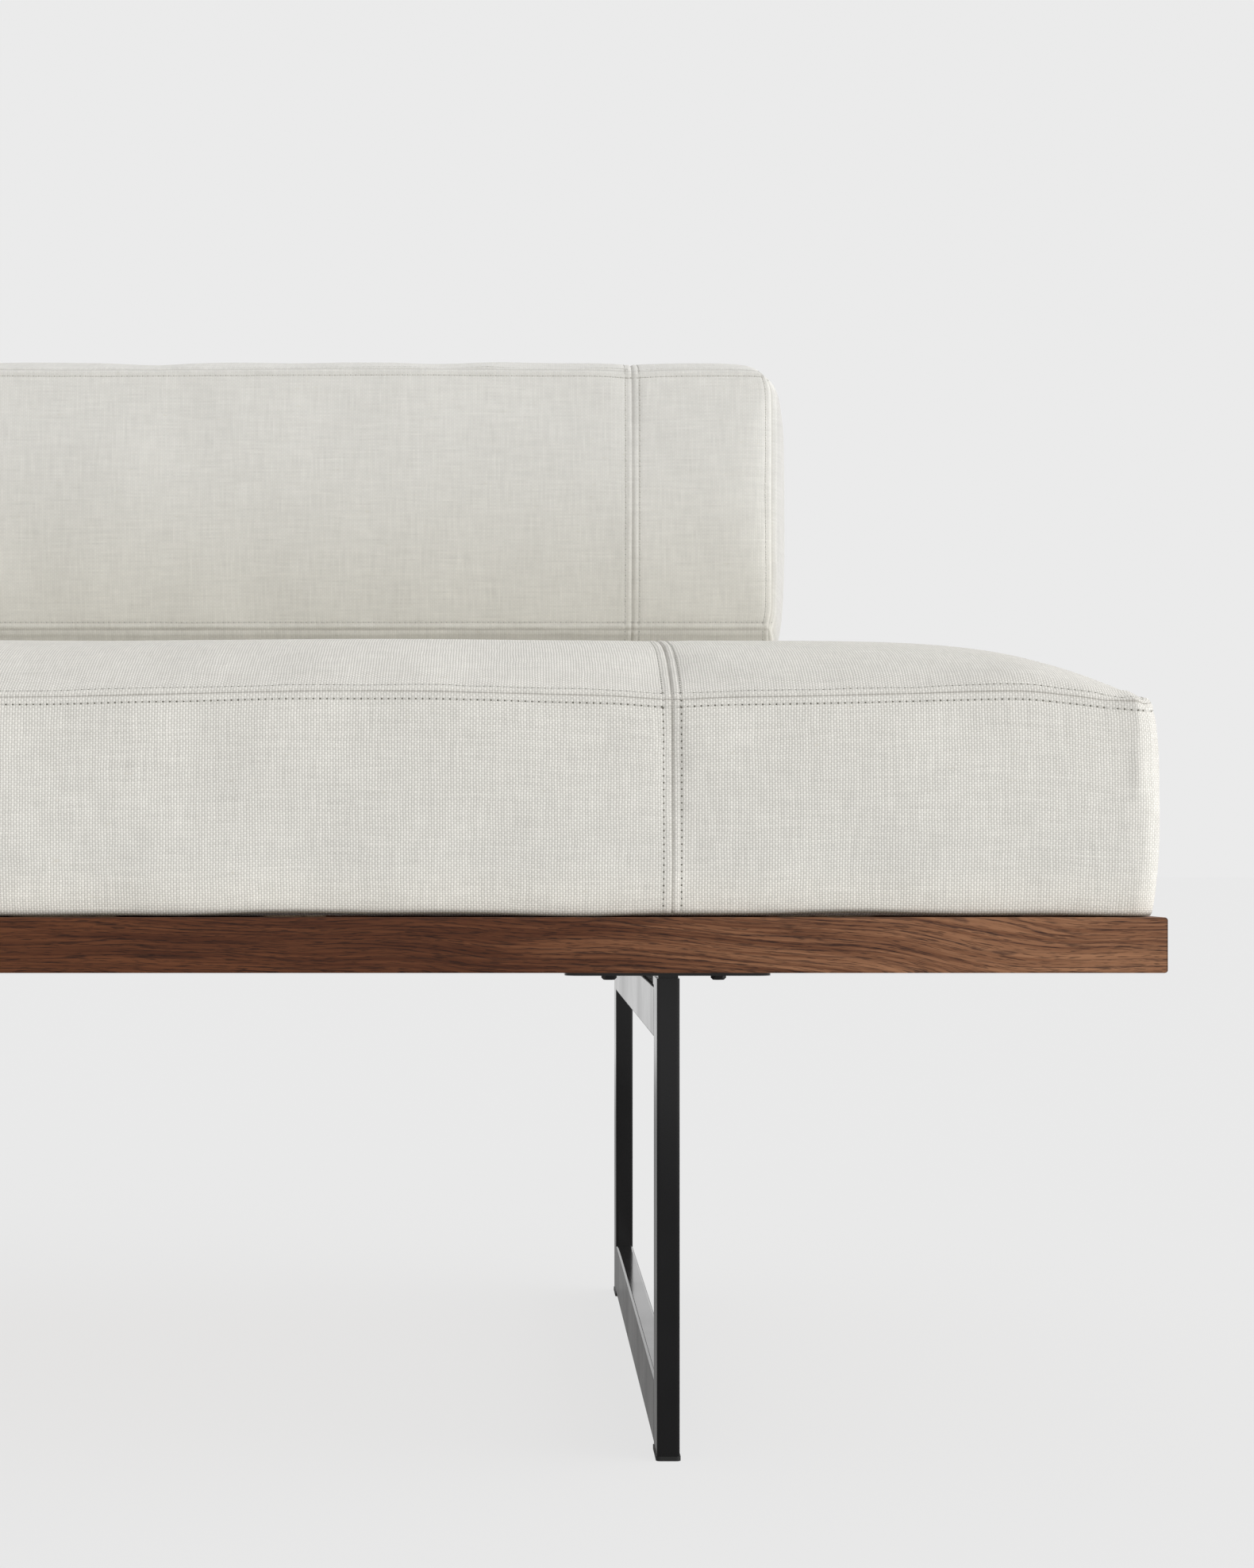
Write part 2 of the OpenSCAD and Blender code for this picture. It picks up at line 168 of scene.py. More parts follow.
def mesh_object(name, points, quads, flat=None):
    mesh = bpy.data.meshes.new(name)
    mesh.vertices.add(len(points))
    mesh.vertices.foreach_set("co", np.asarray(points, np.float32).ravel())
    mesh.loops.add(quads.size)
    mesh.loops.foreach_set("vertex_index", quads.astype(np.int32).ravel())
    mesh.polygons.add(len(quads))
    mesh.polygons.foreach_set("loop_start", np.arange(0, quads.size, 4, dtype=np.int32))
    mesh.update(calc_edges=True)
    mesh.polygons.foreach_set("use_smooth", np.ones(len(quads), bool))
    if flat is not None:
        layer = mesh.uv_layers.new(name="cloth_metres")
        layer.data.foreach_set("uv", np.asarray(flat, np.float32).ravel())
    mesh.validate()
    obj = bpy.data.objects.new(name, mesh)
    bpy.context.scene.collection.objects.link(obj)
    return obj


# ---------------------------------------------------------------- cushion forms

SEAM_X = 0.7495          # where the panels are joined, over the leg frames
PITCH = 0.0037           # one stitch and its gap
THREAD_PITCH = 0.00151   # from one warp thread of the linen to the next


def seam_groove(d):
    """How the skin dips at a seam and swells and dips again beside it."""
    d = d * 1000.0
    out = -0.8 * np.exp(-(d / 0.65) ** 2) + 0.32 * np.exp(-((d - 2.4) / 1.4) ** 2)
    return (out - 0.28 * np.exp(-((d - 4.7) / 0.8) ** 2)) / 1000.0


def puckers(points, d, reach, seed):
    """Small folds that start at a seam and fade away from it."""
    fine = ripple_noise(points, (0.011, 0.016, 0.011), seed)
    broad = ripple_noise(points, (0.026, 0.04, 0.03), seed + 1)
    fade = np.exp(-d / reach) * rise(d, 0.0016)
    return (0.42 * fine + 0.6 * broad) * fade * 0.001


class Seat:
    x0 = 1.0100
    y0, y1 = -0.373, 0.368
    z0, z1 = 0.300, 0.420
    corner = 0.011
    zip_place = 0.750, 0.3600, 0.012, 0.3725

    @classmethod
    def grid(cls, coarse):
        if coarse:
            return BoxGrid(graded([-cls.x0, -SEAM_X, 0, SEAM_X, cls.x0], 0.012, 0.030, 1.3),
                           graded([cls.y0, cls.y1], 0.012, 0.030, 1.3),
                           graded([cls.z0, cls.z1], 0.010, 0.020, 1.3))
        row = 0.0045
        xs = [cls.x0, cls.x0 - row, cls.x0 - cls.corner, SEAM_X + 0.005, SEAM_X, SEAM_X - 0.005]
        xs = sorted([-x for x in xs] + xs)
        ys = [cls.y0, cls.y0 + row, cls.y0 + cls.corner, cls.y1 - cls.corner, cls.y1 - row, cls.y1]
        zs = [cls.z0, cls.z1 - row, cls.z1]
        return BoxGrid(graded(xs, 0.0007, 0.0062, 1.5), graded(ys, 0.0007, 0.009, 1.5),
                       graded(zs, 0.0007, 0.006, 1.5))

    @classmethod
    def form(cls, p):
        x, y, z = p.T
        cy, hy = (cls.y0 + cls.y1) / 2, (cls.y1 - cls.y0) / 2
        dx, dy = x, y - cy
        r = cls.corner
        u = np.clip((np.abs(dx) - (cls.x0 - r)) / r, 0, 1)
        v = np.clip((np.abs(dy) - (hy - r)) / r, 0, 1)
        uu, vv = u * np.sqrt(1 - v * v / 2), v * np.sqrt(1 - u * u / 2)
        px = np.where(u > 0, np.sign(dx) * (cls.x0 - r + r * uu), dx)
        py = np.where(v > 0, np.sign(dy) * (hy - r + r * vv), dy)
        side = (u > 1 - 1e-9) | (v > 1 - 1e-9)
        top, base = z > cls.z1 - 1e-9, z < cls.z0 + 1e-9
        length = np.maximum(np.hypot(uu, vv), 1e-9)
        c = (z - (cls.z0 + cls.z1) / 2) / ((cls.z1 - cls.z0) / 2)
        out = np.where(side, 1 - np.abs(c) ** 3, 0.0)
        px = px + 0.0040 * out * np.sign(dx) * uu / length
        py = py + 0.0036 * out * np.sign(dy) * vv / length
        ax = np.abs(x) * 1000
        near_y = smooth((np.abs(dy) - (hy - 0.09)) / 0.09)
        wave = 1.1 + 1.7 * np.cos(2 * np.pi * (ax - 579) / 390) - 1.5 * np.exp(-((ax - 749.5) / 20) ** 2)
        wave = wave - 6.4 * smooth((ax - 930) / 78) * (0.3 + 0.7 * near_y)
        share = (z - cls.z0) / (cls.z1 - cls.z0)
        pz = z + share * wave * 0.001 * (0.35 + 0.65 * smooth((np.abs(dy) - 0.15) / 0.2))
        ux, uy = cls.x0 - np.abs(x), hy - np.abs(dy)
        t = np.abs(dy) / hy
        fy = 1 - np.where(dy < 0, t ** 4, t ** 9)
        fx = 1 - (np.abs(x) / cls.x0) ** 21
        crown = 36.6 * fx * fy + 5.0 * rise(ux, 0.008) * rise(uy, 0.008)
        pz = pz + np.where(top, crown * 0.001, 0.0)
        under = smooth((y - 0.15) / 0.04)
        pz = np.where(top, pz - under * np.maximum(pz - 0.4612, 0.0), pz)
        lift = 0.0013 + 0.0007 * np.sin(x * 23.0 + 1.0) + 0.0004 * np.sin(x * 61.0)
        edge = np.minimum(cls.x0 - np.abs(x), hy - np.abs(dy))
        pz = np.where(base, cls.z0 + 0.0003 + lift * np.exp(-edge / 0.004), pz + lift * (1 - share) ** 3)
        return np.stack([px, py + cy, pz], 1)

    @classmethod
    def distances(cls, p):
        x, y, z = p.T
        top, base = z > cls.z1 - 1e-9, z < cls.z0 + 1e-9
        edge = np.minimum(cls.x0 - np.abs(x), np.minimum(y - cls.y0, cls.y1 - y))
        d_panel = np.where(base, 1.0, np.abs(np.abs(x) - SEAM_X))
        return np.where(top, edge, cls.z1 - z), np.where(base, edge, z - cls.z0), d_panel

    @classmethod
    def seam_distance(cls, p):
        d_top, d_base, d_panel = cls.distances(p)
        return np.minimum(np.where(p[:, 2] < cls.z0 + 1e-9, 1.0, d_top), np.minimum(d_base, d_panel))

    @classmethod
    def tuck_distance(cls, p):
        """How far a point is from where the band turns under, against the timber."""
        return cls.distances(p)[1]

    @classmethod
    def detail(cls, p):
        """How far the skin stands out from the plain form, at points of the plain box."""
        x, y, z = p.T
        top, base = z > cls.z1 - 1e-9, z < cls.z0 + 1e-9
        d_top, d_base, d_panel = cls.distances(p)
        out = np.where(base, 0.0, seam_groove(d_top)) + seam_groove(d_panel)
        out = out + np.where(base, 0.0, 0.5 * seam_groove(d_base))
        out = out + puckers(p, d_top, 0.017, 3) + puckers(p, d_panel, 0.02, 7)
        out = out + 0.7 * puckers(p, np.where(base, 1.0, d_base), 0.012, 11)
        swell = ripple_noise(p, (0.19, 0.16, 0.11), 21) * 0.0011
        swell = swell + ripple_noise(p, (0.07, 0.09, 0.06), 22) * 0.0004
        out = out + np.where(base, 0.0, swell) * rise(np.minimum(d_top, d_base), 0.02)
        corner = np.exp(-((np.hypot(np.abs(x) - cls.x0, y - cls.y0) / 0.03) ** 2))
        corner = corner * np.where(top, 1.0, share_of(z, cls))
        return out + 0.0024 * corner * ripple_noise(p, (0.008, 0.008, 0.02), 31)


def share_of(z, form):
    return (z - form.z0) / (form.z1 - form.z0)


class Bolster:
    x0 = 0.8495
    y0, y1 = 0.172, 0.356
    z0, z1 = 0.4943, 0.6803
    zip_place = 0.600, 0.5873, 0.012, 0.3635

    @classmethod
    def grid(cls, coarse):
        if coarse:
            return BoxGrid(graded([-cls.x0, -SEAM_X, 0, SEAM_X, cls.x0], 0.010, 0.026, 1.3),
                           graded([cls.y0, cls.y1], 0.010, 0.020, 1.3),
                           graded([cls.z0, cls.z1], 0.010, 0.020, 1.3))
        row = 0.005
        xs = [cls.x0, cls.x0 - row, SEAM_X + row, SEAM_X, SEAM_X - row]
        xs = sorted([-x for x in xs] + xs)
        ys = [cls.y0, cls.y0 + row, cls.y1 - row, cls.y1]
        zs = [cls.z0, cls.z0 + row, cls.z1 - row, cls.z1]
        return BoxGrid(graded(xs, 0.0009, 0.0066, 1.5), graded(ys, 0.0009, 0.0075, 1.5),
                       graded(zs, 0.0009, 0.0075, 1.5))

    @classmethod
    def form(cls, p):
        x, y, z = p.T
        b = (y - (cls.y0 + cls.y1) / 2) / ((cls.y1 - cls.y0) / 2)
        c = (z - (cls.z0 + cls.z1) / 2) / ((cls.z1 - cls.z0) / 2)
        top, base = z > cls.z1 - 1e-9, z < cls.z0 + 1e-9
        front, rear = y < cls.y0 + 1e-9, y > cls.y1 - 1e-9
        end = np.abs(x) > cls.x0 - 1e-9
        u = cls.x0 - np.abs(x)
        ax = np.abs(x) * 1000
        pz = z + np.where(top, 0.0143 * (1 - np.abs(b) ** 2.1) * rise(u, 0.005), 0.0)
        pz = pz - np.where(top, 0.0020 * np.exp(-u / 0.020) * (1 - np.abs(b) ** 6), 0.0)
        sag = 0.0315 * (1 - np.abs(b) ** 4)
        pz = pz - np.where(base, sag * (0.85 + 0.15 * rise(u, 0.012)), 0.0)
        pz = pz - np.where(end & ~base, 0.85 * sag * ((1 - c) / 2) ** 3, 0.0)
        pz = np.maximum(pz, 0.4628)
        wave = 0.0004 * np.cos(2 * np.pi * (ax - 560) / 380) - 0.0011 * np.exp(-((ax - 749.5) / 18) ** 2)
        pz = pz + wave * smooth((c + 1) / 2)
        py = y - np.where(front, 1.0, 0.0) * 0.008 * (1 - c * c) * rise(u, 0.010)
        py = py + np.where(rear, 1.0, 0.0) * 0.008 * (1 - c * c) * rise(u, 0.010)
        hy, hz = (cls.y1 - cls.y0) / 2, (cls.z1 - cls.z0) / 2
        bulge = 0.0082 * rise((1 - np.abs(b)) * hy, 0.007) * rise((1 - np.abs(c)) * hz, 0.013)
        bulge = bulge + 0.0045 * (1 - b * b) * (1 - c * c)
        px = x + np.where(end, np.sign(x) * bulge, 0.0)
        pull = 0.0022 * smooth((np.abs(c) - 0.82) / 0.18) * smooth((np.abs(b) - 0.8) / 0.2)
        px = px - np.where(u < 0.03, np.sign(x) * pull * (1 - u / 0.03), 0.0)
        turn = np.exp(-(u + cls.z1 - z) / 0.007)
        pz, px = pz - 0.0044 * turn, px - np.sign(x) * 0.0045 * turn
        return np.stack([px, py, pz], 1)

    @classmethod
    def distances(cls, p):
        x, y, z = p.T
        top, base = z > cls.z1 - 1e-9, z < cls.z0 + 1e-9
        end = np.abs(x) > cls.x0 - 1e-9
        uy, ux = np.minimum(y - cls.y0, cls.y1 - y), cls.x0 - np.abs(x)
        uz = np.minimum(z - cls.z0, cls.z1 - z)
        d_long = np.where(top | base, uy, uz)
        d_end = np.where(end, np.minimum(uy, uz), ux)
        d_panel = np.where(end, 1.0, np.abs(np.abs(x) - SEAM_X))
        return d_long + np.where(end, 1.0, 0.0), d_end, d_panel

    @classmethod
    def seam_distance(cls, p):
        return np.minimum.reduce(cls.distances(p))

    @classmethod
    def tuck_distance(cls, p):
        return np.full(len(p), 1.0)

    @classmethod
    def detail(cls, p):
        d_long, d_end, d_panel = cls.distances(p)
        out = seam_groove(d_long) + seam_groove(d_end) + seam_groove(d_panel)
        out = out + puckers(p, d_long, 0.02, 41) + puckers(p, d_end, 0.014, 45)
        out = out + puckers(p, d_panel, 0.02, 47)
        swell = ripple_noise(p, (0.17, 0.12, 0.10), 51) * 0.0012
        swell = swell + ripple_noise(p, (0.06, 0.08, 0.05), 52) * 0.0005
        return out + swell * rise(np.minimum(d_long, d_end), 0.016)


# ---------------------------------------------------------------- stuffing

def blown_up(name, shape, pressure, most):
    """How far a skin moves, corner by corner, when it is stuffed with its seams held."""
    grid = shape.grid(True)
    start = shape.form(grid.rest)
    skin = mesh_object(name, start, grid.quads)
    x, y, z = grid.rest.T
    on_x = np.abs(np.abs(x) - shape.x0) < 1e-6
    on_y = (y < shape.y0 + 1e-6) | (y > shape.y1 - 1e-6)
    on_z = (z < shape.z0 + 1e-6) | (z > shape.z1 - 1e-6)
    held = (on_z & (on_x | on_y)) | (z < shape.z0 + 1e-6)
    if shape is Bolster:
        held |= on_x & on_y
    group = skin.vertex_groups.new(name="seams")
    group.add([int(i) for i in np.nonzero(held)[0]], 1.0, "REPLACE")
    cloth = skin.modifiers.new("Cloth", "CLOTH")
    s = cloth.settings
    s.quality = 5
    s.mass = 0.35
    s.tension_stiffness = 18
    s.compression_stiffness = 18
    s.shear_stiffness = 8
    s.bending_stiffness = 1.2
    s.air_damping = 3
    s.use_pressure = True
    s.uniform_pressure_force = pressure
    s.shrink_min = -0.012
    s.effector_weights.gravity = 0.0
    s.vertex_group_mass = group.name
    cloth.collision_settings.use_collision = False
    cloth.point_cache.frame_start, cloth.point_cache.frame_end = 1, 20
    scene = bpy.context.scene
    for f in range(1, 21):
        scene.frame_set(f)
    result = skin.evaluated_get(bpy.context.evaluated_depsgraph_get())
    co = np.zeros(len(start) * 3, np.float32)
    result.data.vertices.foreach_get("co", co)
    moved = co.reshape(-1, 3) - start
    scene.frame_set(1)
    bpy.data.objects.remove(skin)
    size = np.linalg.norm(moved, axis=1, keepdims=True)
    return grid, moved * (most * np.tanh(size / most) / np.maximum(size, 1e-9))


def carried(grid, values, rest):
    """Values on a coarse box, read off at the points of a finer one."""
    out = np.zeros((len(rest), values.shape[1]))
    x, y, z = rest.T
    lines = (grid.xs, grid.ys, grid.zs)

    def cell(axis, v):
        i = np.clip(np.searchsorted(lines[axis], v) - 1, 0, len(lines[axis]) - 2)
        return i, np.clip((v - lines[axis][i]) / (lines[axis][i + 1] - lines[axis][i]), 0, 1)

    faces = [(z > grid.zs[-1] - 1e-7, grid.at[:, :, -1], 0, 1),
             (z < grid.zs[0] + 1e-7, grid.at[:, :, 0], 0, 1),
             (y < grid.ys[0] + 1e-7, grid.at[:, 0, :], 0, 2),
             (y > grid.ys[-1] - 1e-7, grid.at[:, -1, :], 0, 2),
             (x < grid.xs[0] + 1e-7, grid.at[0], 1, 2), (x > grid.xs[-1] - 1e-7, grid.at[-1], 1, 2)]
    for on, at, a, b in faces:
        i, f = cell(a, rest[on][:, a])
        j, g = cell(b, rest[on][:, b])
        f, g = f[:, None], g[:, None]
        near, far = values[at[i, j]] * (1 - f) + values[at[i + 1, j]] * f, values[at[i, j + 1]] * (1 - f)
        out[on] = near * (1 - g) + (far + values[at[i + 1, j + 1]] * f) * g
    return out


SEAT_UNDER_BOLSTER = 0.4616
BOLSTER_UNDERSIDE = 0.4624


def settled(shape, points):
    """Keeps the skin just inside its zip tape, and the seat and the bolster off each other."""
    half_length, middle, half_width, face = shape.zip_place
    away = np.maximum(np.abs(points[:, 0]) - half_length, np.abs(points[:, 2] - middle) - half_width)
    points[:, 1] = np.minimum(points[:, 1], face + 0.12 * np.maximum(away, 0.0))
    if shape is Bolster:
        points[:, 2] = np.maximum(points[:, 2], BOLSTER_UNDERSIDE)
    else:
        away = np.maximum(np.abs(points[:, 0]) - Bolster.x0 - 0.016, Bolster.y0 - 0.012 - points[:, 1])
        points[:, 2] = np.minimum(points[:, 2], SEAT_UNDER_BOLSTER + 0.15 * np.maximum(away, 0.0))
    return points


def mark_seams(obj, distance, tuck):
    """Stores how close each corner of the skin is to a seam, as a mask for painted shade in the seam grooves
    and a stronger painted shadow line where the band turns under against the timber.
    """
    near = np.exp(-((distance / 0.00055) ** 2)) + 2.0 * np.exp(-((tuck / 0.0018) ** 2))
    attribute = obj.data.attributes.new("seam_shade", "FLOAT", "POINT")
    attribute.data.foreach_set("value", near.astype(np.float32))


def cushion(name, shape, pressure, most):
    """A stuffed piece: its form, what stuffing does to it, then seams and folds."""
    grid = shape.grid(False)
    points = shape.form(grid.rest)
    coarse, moved = blown_up(name + "_skin", shape, pressure, most)
    moved = averaged(carried(coarse, moved, grid.rest), grid.quads, 8)
    points = points + moved
    normals = normals_of(points, grid.quads)
    points = settled(shape, points + normals * shape.detail(grid.rest)[:, None])
    obj = mesh_object(name, points, grid.quads, grid.flat)
    mark_seams(obj, shape.seam_distance(grid.rest), shape.tuck_distance(grid.rest))
    return obj, grid, points, normals_of(points, grid.quads)


# ---------------------------------------------------------------- node helpers

class Tree:
    """Short words for building a node tree."""

    def __init__(self, tree):
        self.tree = tree

    def add(self, kind, **props):
        n = self.tree.nodes.new(kind)
        for k, v in props.items():
            setattr(n, k, v)
        return n

    def put(self, value, socket):
        if isinstance(value, bpy.types.NodeSocket):
            self.tree.links.new(value, socket)
        elif value is not None:
            if socket.type == "RGBA" and len(value) == 3:
                value = (*value, 1.0)
            socket.default_value = value

    def math(self, op, a, b=None, c=None, clamp=False):
        n = self.add("ShaderNodeMath", operation=op, use_clamp=clamp)
        for v, s in zip((a, b, c), n.inputs):
            self.put(v, s)
        return n.outputs[0]

    def vector(self, op, a, b=None):
        n = self.add("ShaderNodeVectorMath", operation=op)
        self.put(a, n.inputs[0])
        if b is not None:
            self.put(b, n.inputs[1])
        return n.outputs["Value"] if op in ("LENGTH", "DOT_PRODUCT", "DISTANCE") else n.outputs["Vector"]

    def ramp(self, v, low, high, to_low=0.0, to_high=1.0, kind="SMOOTHSTEP"):
        n = self.add("ShaderNodeMapRange", interpolation_type=kind)
        for value, socket in zip((v, low, high, to_low, to_high), n.inputs):
            self.put(value, socket)
        return n.outputs[0]

    def mix(self, share, a, b, kind="MIX"):
        n = self.add("ShaderNodeMix", data_type="RGBA", blend_type=kind)
        self.put(share, n.inputs[0])
        self.put(a, n.inputs[6])
        self.put(b, n.inputs[7])
        return n.outputs[2]

    def noise(self, vector, scale, detail=2.0, rough=0.5, distort=0.0):
        n = self.add("ShaderNodeTexNoise")
        self.put(vector, n.inputs["Vector"])
        n.inputs["Scale"].default_value = scale
        n.inputs["Detail"].default_value = detail
        n.inputs["Roughness"].default_value = rough
        n.inputs["Distortion"].default_value = distort
        return n.outputs["Fac"]

    def split(self, vector):
        n = self.add("ShaderNodeSeparateXYZ")
        self.put(vector, n.inputs[0])
        return n.outputs

    def join(self, x, y, z):
        n = self.add("ShaderNodeCombineXYZ")
        for v, s in zip((x, y, z), n.inputs):
            self.put(v, s)
        return n.outputs[0]

    def bump(self, height, distance, strength=1.0, normal=None):
        n = self.add("ShaderNodeBump")
        n.inputs["Strength"].default_value = strength
        n.inputs["Distance"].default_value = distance
        self.put(height, n.inputs["Height"])
        self.put(normal, n.inputs["Normal"])
        return n.outputs[0]

    def use(self, group, **inputs):
        n = self.add("ShaderNodeGroup", node_tree=group)
        for k, v in inputs.items():
            self.put(v, n.inputs[k.replace("_", " ")])
        return n.outputs


SOCKETS = {"value": "NodeSocketFloat", "colour": "NodeSocketColor", "vector": "NodeSocketVector"}


def shader_group(name, inputs, outputs):
    tree = bpy.data.node_groups.new(name, "ShaderNodeTree")
    for label, kind, default in inputs:
        s = tree.interface.new_socket(name=label, in_out="INPUT", socket_type=SOCKETS[kind])
        if default is not None:
            s.default_value = (*default, 1.0) if kind == "colour" else default
    for label, kind in outputs:
        tree.interface.new_socket(name=label, in_out="OUTPUT", socket_type=SOCKETS[kind])
    t = Tree(tree)
    given, result = t.add("NodeGroupInput"), t.add("NodeGroupOutput")
    return tree, t, given.outputs, result.inputs


def linen_weave():
    """Plain-woven linen: two sets of threads that pass over and under each other."""
    group, t, given, result = shader_group(
        "linen_weave", [("Cloth", "vector", None), ("Pitch", "value", 0.0014), ("Weft Tone", "value", 0.8),
                         ("Colour", "colour", (0.7, 0.7, 0.67)),
                        ("Gap Colour", "colour", (0.4, 0.39, 0.36)),
                         ("Fleck Colour", "colour", (0.5, 0.46, 0.38))],
        [("Colour", "colour"), ("Height", "value")])
    x, y, _ = t.split(given["Cloth"])
    wander = t.math("MULTIPLY_ADD", t.noise(given["Cloth"], 60.0, 1.0), 0.0011, -0.00055)
    tx = t.math("DIVIDE", t.math("ADD", x, wander), given["Pitch"])
    ty = t.math("DIVIDE", t.math("ADD", y, wander), t.math("MULTIPLY", given["Pitch"], 0.84))
    ix, iy = t.math("FLOOR", tx), t.math("FLOOR", ty)

    def thread(across, along, number):
        arc = t.math("SINE", t.math("MULTIPLY", t.math("FRACT", across), math.pi))
        turn = t.math("ADD", t.math("SUBTRACT", along, 0.5), number)
        over = t.math("COSINE", t.math("MULTIPLY", turn, math.pi))
        place_on = t.join(t.math("MULTIPLY", number, 7.31), t.math("MULTIPLY", along, 0.055), 0.0)
        fat = t.noise(place_on, 1.0, 2.0, 0.6)
        return t.math("MULTIPLY", arc, t.math("MULTIPLY_ADD", over, 0.36, 0.5)), fat

    warp, warp_fat = thread(tx, ty, ix)
    weft, weft_fat = thread(ty, tx, t.math("ADD", iy, 1.0))
    warp = t.math("MULTIPLY", warp, t.math("MULTIPLY_ADD", warp_fat, 0.5, 0.88))
    weft = t.math("MULTIPLY", weft, t.math("MULTIPLY_ADD", weft_fat, 0.5, 0.68))
    height = t.math("MAXIMUM", warp, weft)
    tone = t.math("MULTIPLY_ADD", t.math("ADD", warp_fat, weft_fat), 0.2, 0.8)
    shade = t.ramp(height, 0.10, 0.66, kind="LINEAR")
    colour = t.mix(shade, given["Gap Colour"], given["Colour"])
    weft_tone = t.ramp(t.math("SUBTRACT", warp, weft), -0.35, 0.3, given["Weft Tone"], 1.0, "LINEAR")
    colour = t.mix(1.0, colour, t.join(weft_tone, weft_tone, weft_tone), "MULTIPLY")
    colour = t.mix(1.0, colour, t.join(tone, tone, tone), "MULTIPLY")
    drawn_out = t.vector("MULTIPLY", given["Cloth"], (1.0, 3.2, 1.0))
    flecks = t.ramp(t.noise(drawn_out, 95.0, 2.0, 0.7), 0.66, 0.76)
    patches = t.ramp(t.noise(given["Cloth"], 9.0, 3.0, 0.55), 0.3, 0.7, 0.982, 1.012)
    colour = t.mix(t.math("MULTIPLY", flecks, 0.3), colour, given["Fleck Colour"])
    colour = t.mix(1.0, colour, t.join(patches, patches, patches), "MULTIPLY")
    t.put(colour, result["Colour"])
    t.put(height, result["Height"])
    return group


def timber_grain():
    """Long dark lines, broad bands and fine pores that run along X of the vector it is given."""
    group, t, given, result = shader_group(
        "timber_grain", [("Vector", "vector", None), ("Dark", "colour", (0.05, 0.02, 0.01)),
                         ("Mid", "colour", (0.12, 0.05, 0.03)), ("Light", "colour", (0.25, 0.13, 0.08)),
                         ("Slope", "value", 0.07), ("Line Size", "value", 0.004)],
        [("Colour", "colour"), ("Pores", "value"), ("Figure", "value")])
    x, y, z = t.split(given["Vector"])
    slow = t.noise(t.vector("MULTIPLY", given["Vector"], (3.0, 6.0, 6.0)), 1.0, 2.0)
    drift = t.math("MULTIPLY_ADD", slow, 0.05, -0.025)
    level = t.math("ADD", z, t.math("ADD", t.math("MULTIPLY", x, given["Slope"]), drift))
    level = t.math("ADD", level, t.math("MULTIPLY", y, 0.35))
    count = t.math("DIVIDE", level, given["Line Size"])
    wobble = t.noise(t.join(t.math("MULTIPLY", x, 9.0), t.math("MULTIPLY", count, 0.22), 0.0), 1.0, 2.0, 0.55)
    ring = t.math("SINE", t.math("MULTIPLY", t.math("MULTIPLY_ADD", wobble, 5.0, count), 2 * math.pi))
    stretch = t.noise(t.join(t.math("MULTIPLY", x, 16.0), t.math("MULTIPLY", count, 0.6), 0.0), 1.0, 2.0)
    dark = t.math("MULTIPLY", t.ramp(ring, 0.25, 1.0), t.ramp(stretch, 0.34, 0.6))
    broken = t.noise(t.join(t.math("MULTIPLY", x, 150.0), t.math("MULTIPLY", count, 5.0), y), 1.0, 2.0, 0.6)
    dark = t.math("MULTIPLY", dark, t.ramp(broken, 0.35, 0.6, 0.35, 1.0))
    broad = t.noise(t.join(t.math("MULTIPLY", x, 3.2), t.math("MULTIPLY", count, 0.16), 0.0), 1.0, 3.0, 0.55)
    streak = t.noise(t.join(t.math("MULTIPLY", x, 12.0), t.math("MULTIPLY", count, 1.7), 0.0), 1.0, 3.0, 0.6)
    specks = t.join(t.math("MULTIPLY", x, 120.0), t.math("MULTIPLY", count, 6.0), y)
    pores = t.ramp(t.noise(specks, 1.0, 1.0, 0.5), 0.55, 0.66)
    figure = t.math("ADD", t.math("MULTIPLY", streak, 0.5), t.math("MULTIPLY", broad, 0.5))
    colour = t.mix(t.ramp(figure, 0.38, 0.62), given["Mid"], given["Light"])
    colour = t.mix(t.math("MULTIPLY", dark, 0.8), colour, given["Dark"])
    colour = t.mix(t.math("MULTIPLY", pores, 0.6), colour, t.mix(0.5, given["Dark"], (0.0, 0.0, 0.0)))
    t.put(colour, result["Colour"])
    t.put(pores, result["Pores"])
    t.put(figure, result["Figure"])
    return group


def sharp_edges():
    """1 at the sharp edges of a piece and 0 on its faces."""
    group, t, given, result = shader_group("sharp_edges", [("Size", "value", 0.001)], [("Edge", "value")])
    bevel = t.add("ShaderNodeBevel", samples=4)
    t.put(given["Size"], bevel.inputs["Radius"])
    geo = t.add("ShaderNodeNewGeometry")
    dot = t.vector("DOT_PRODUCT", bevel.outputs[0], geo.outputs["Normal"])
    t.put(t.ramp(dot, 0.995, 0.9), result["Edge"])
    return group


def fine_coat():
    """The fine orange-peel of a sprayed coat, and where it lies thicker."""
    group, t, given, result = shader_group("fine_coat", [("Vector", "vector", None), ("Grain", "value", 900.0)],
                                           [("Height", "value"), ("Patches", "value")])
    n = t.add("ShaderNodeTexNoise")
    t.put(given["Vector"], n.inputs["Vector"])
    t.put(given["Grain"], n.inputs["Scale"])
    n.inputs["Detail"].default_value = 2.0
    t.put(n.outputs["Fac"], result["Height"])
    t.put(t.noise(given["Vector"], 9.0, 3.0, 0.6), result["Patches"])
    return group


WEAVE, GRAIN, EDGE, COAT = linen_weave(), timber_grain(), sharp_edges(), fine_coat()


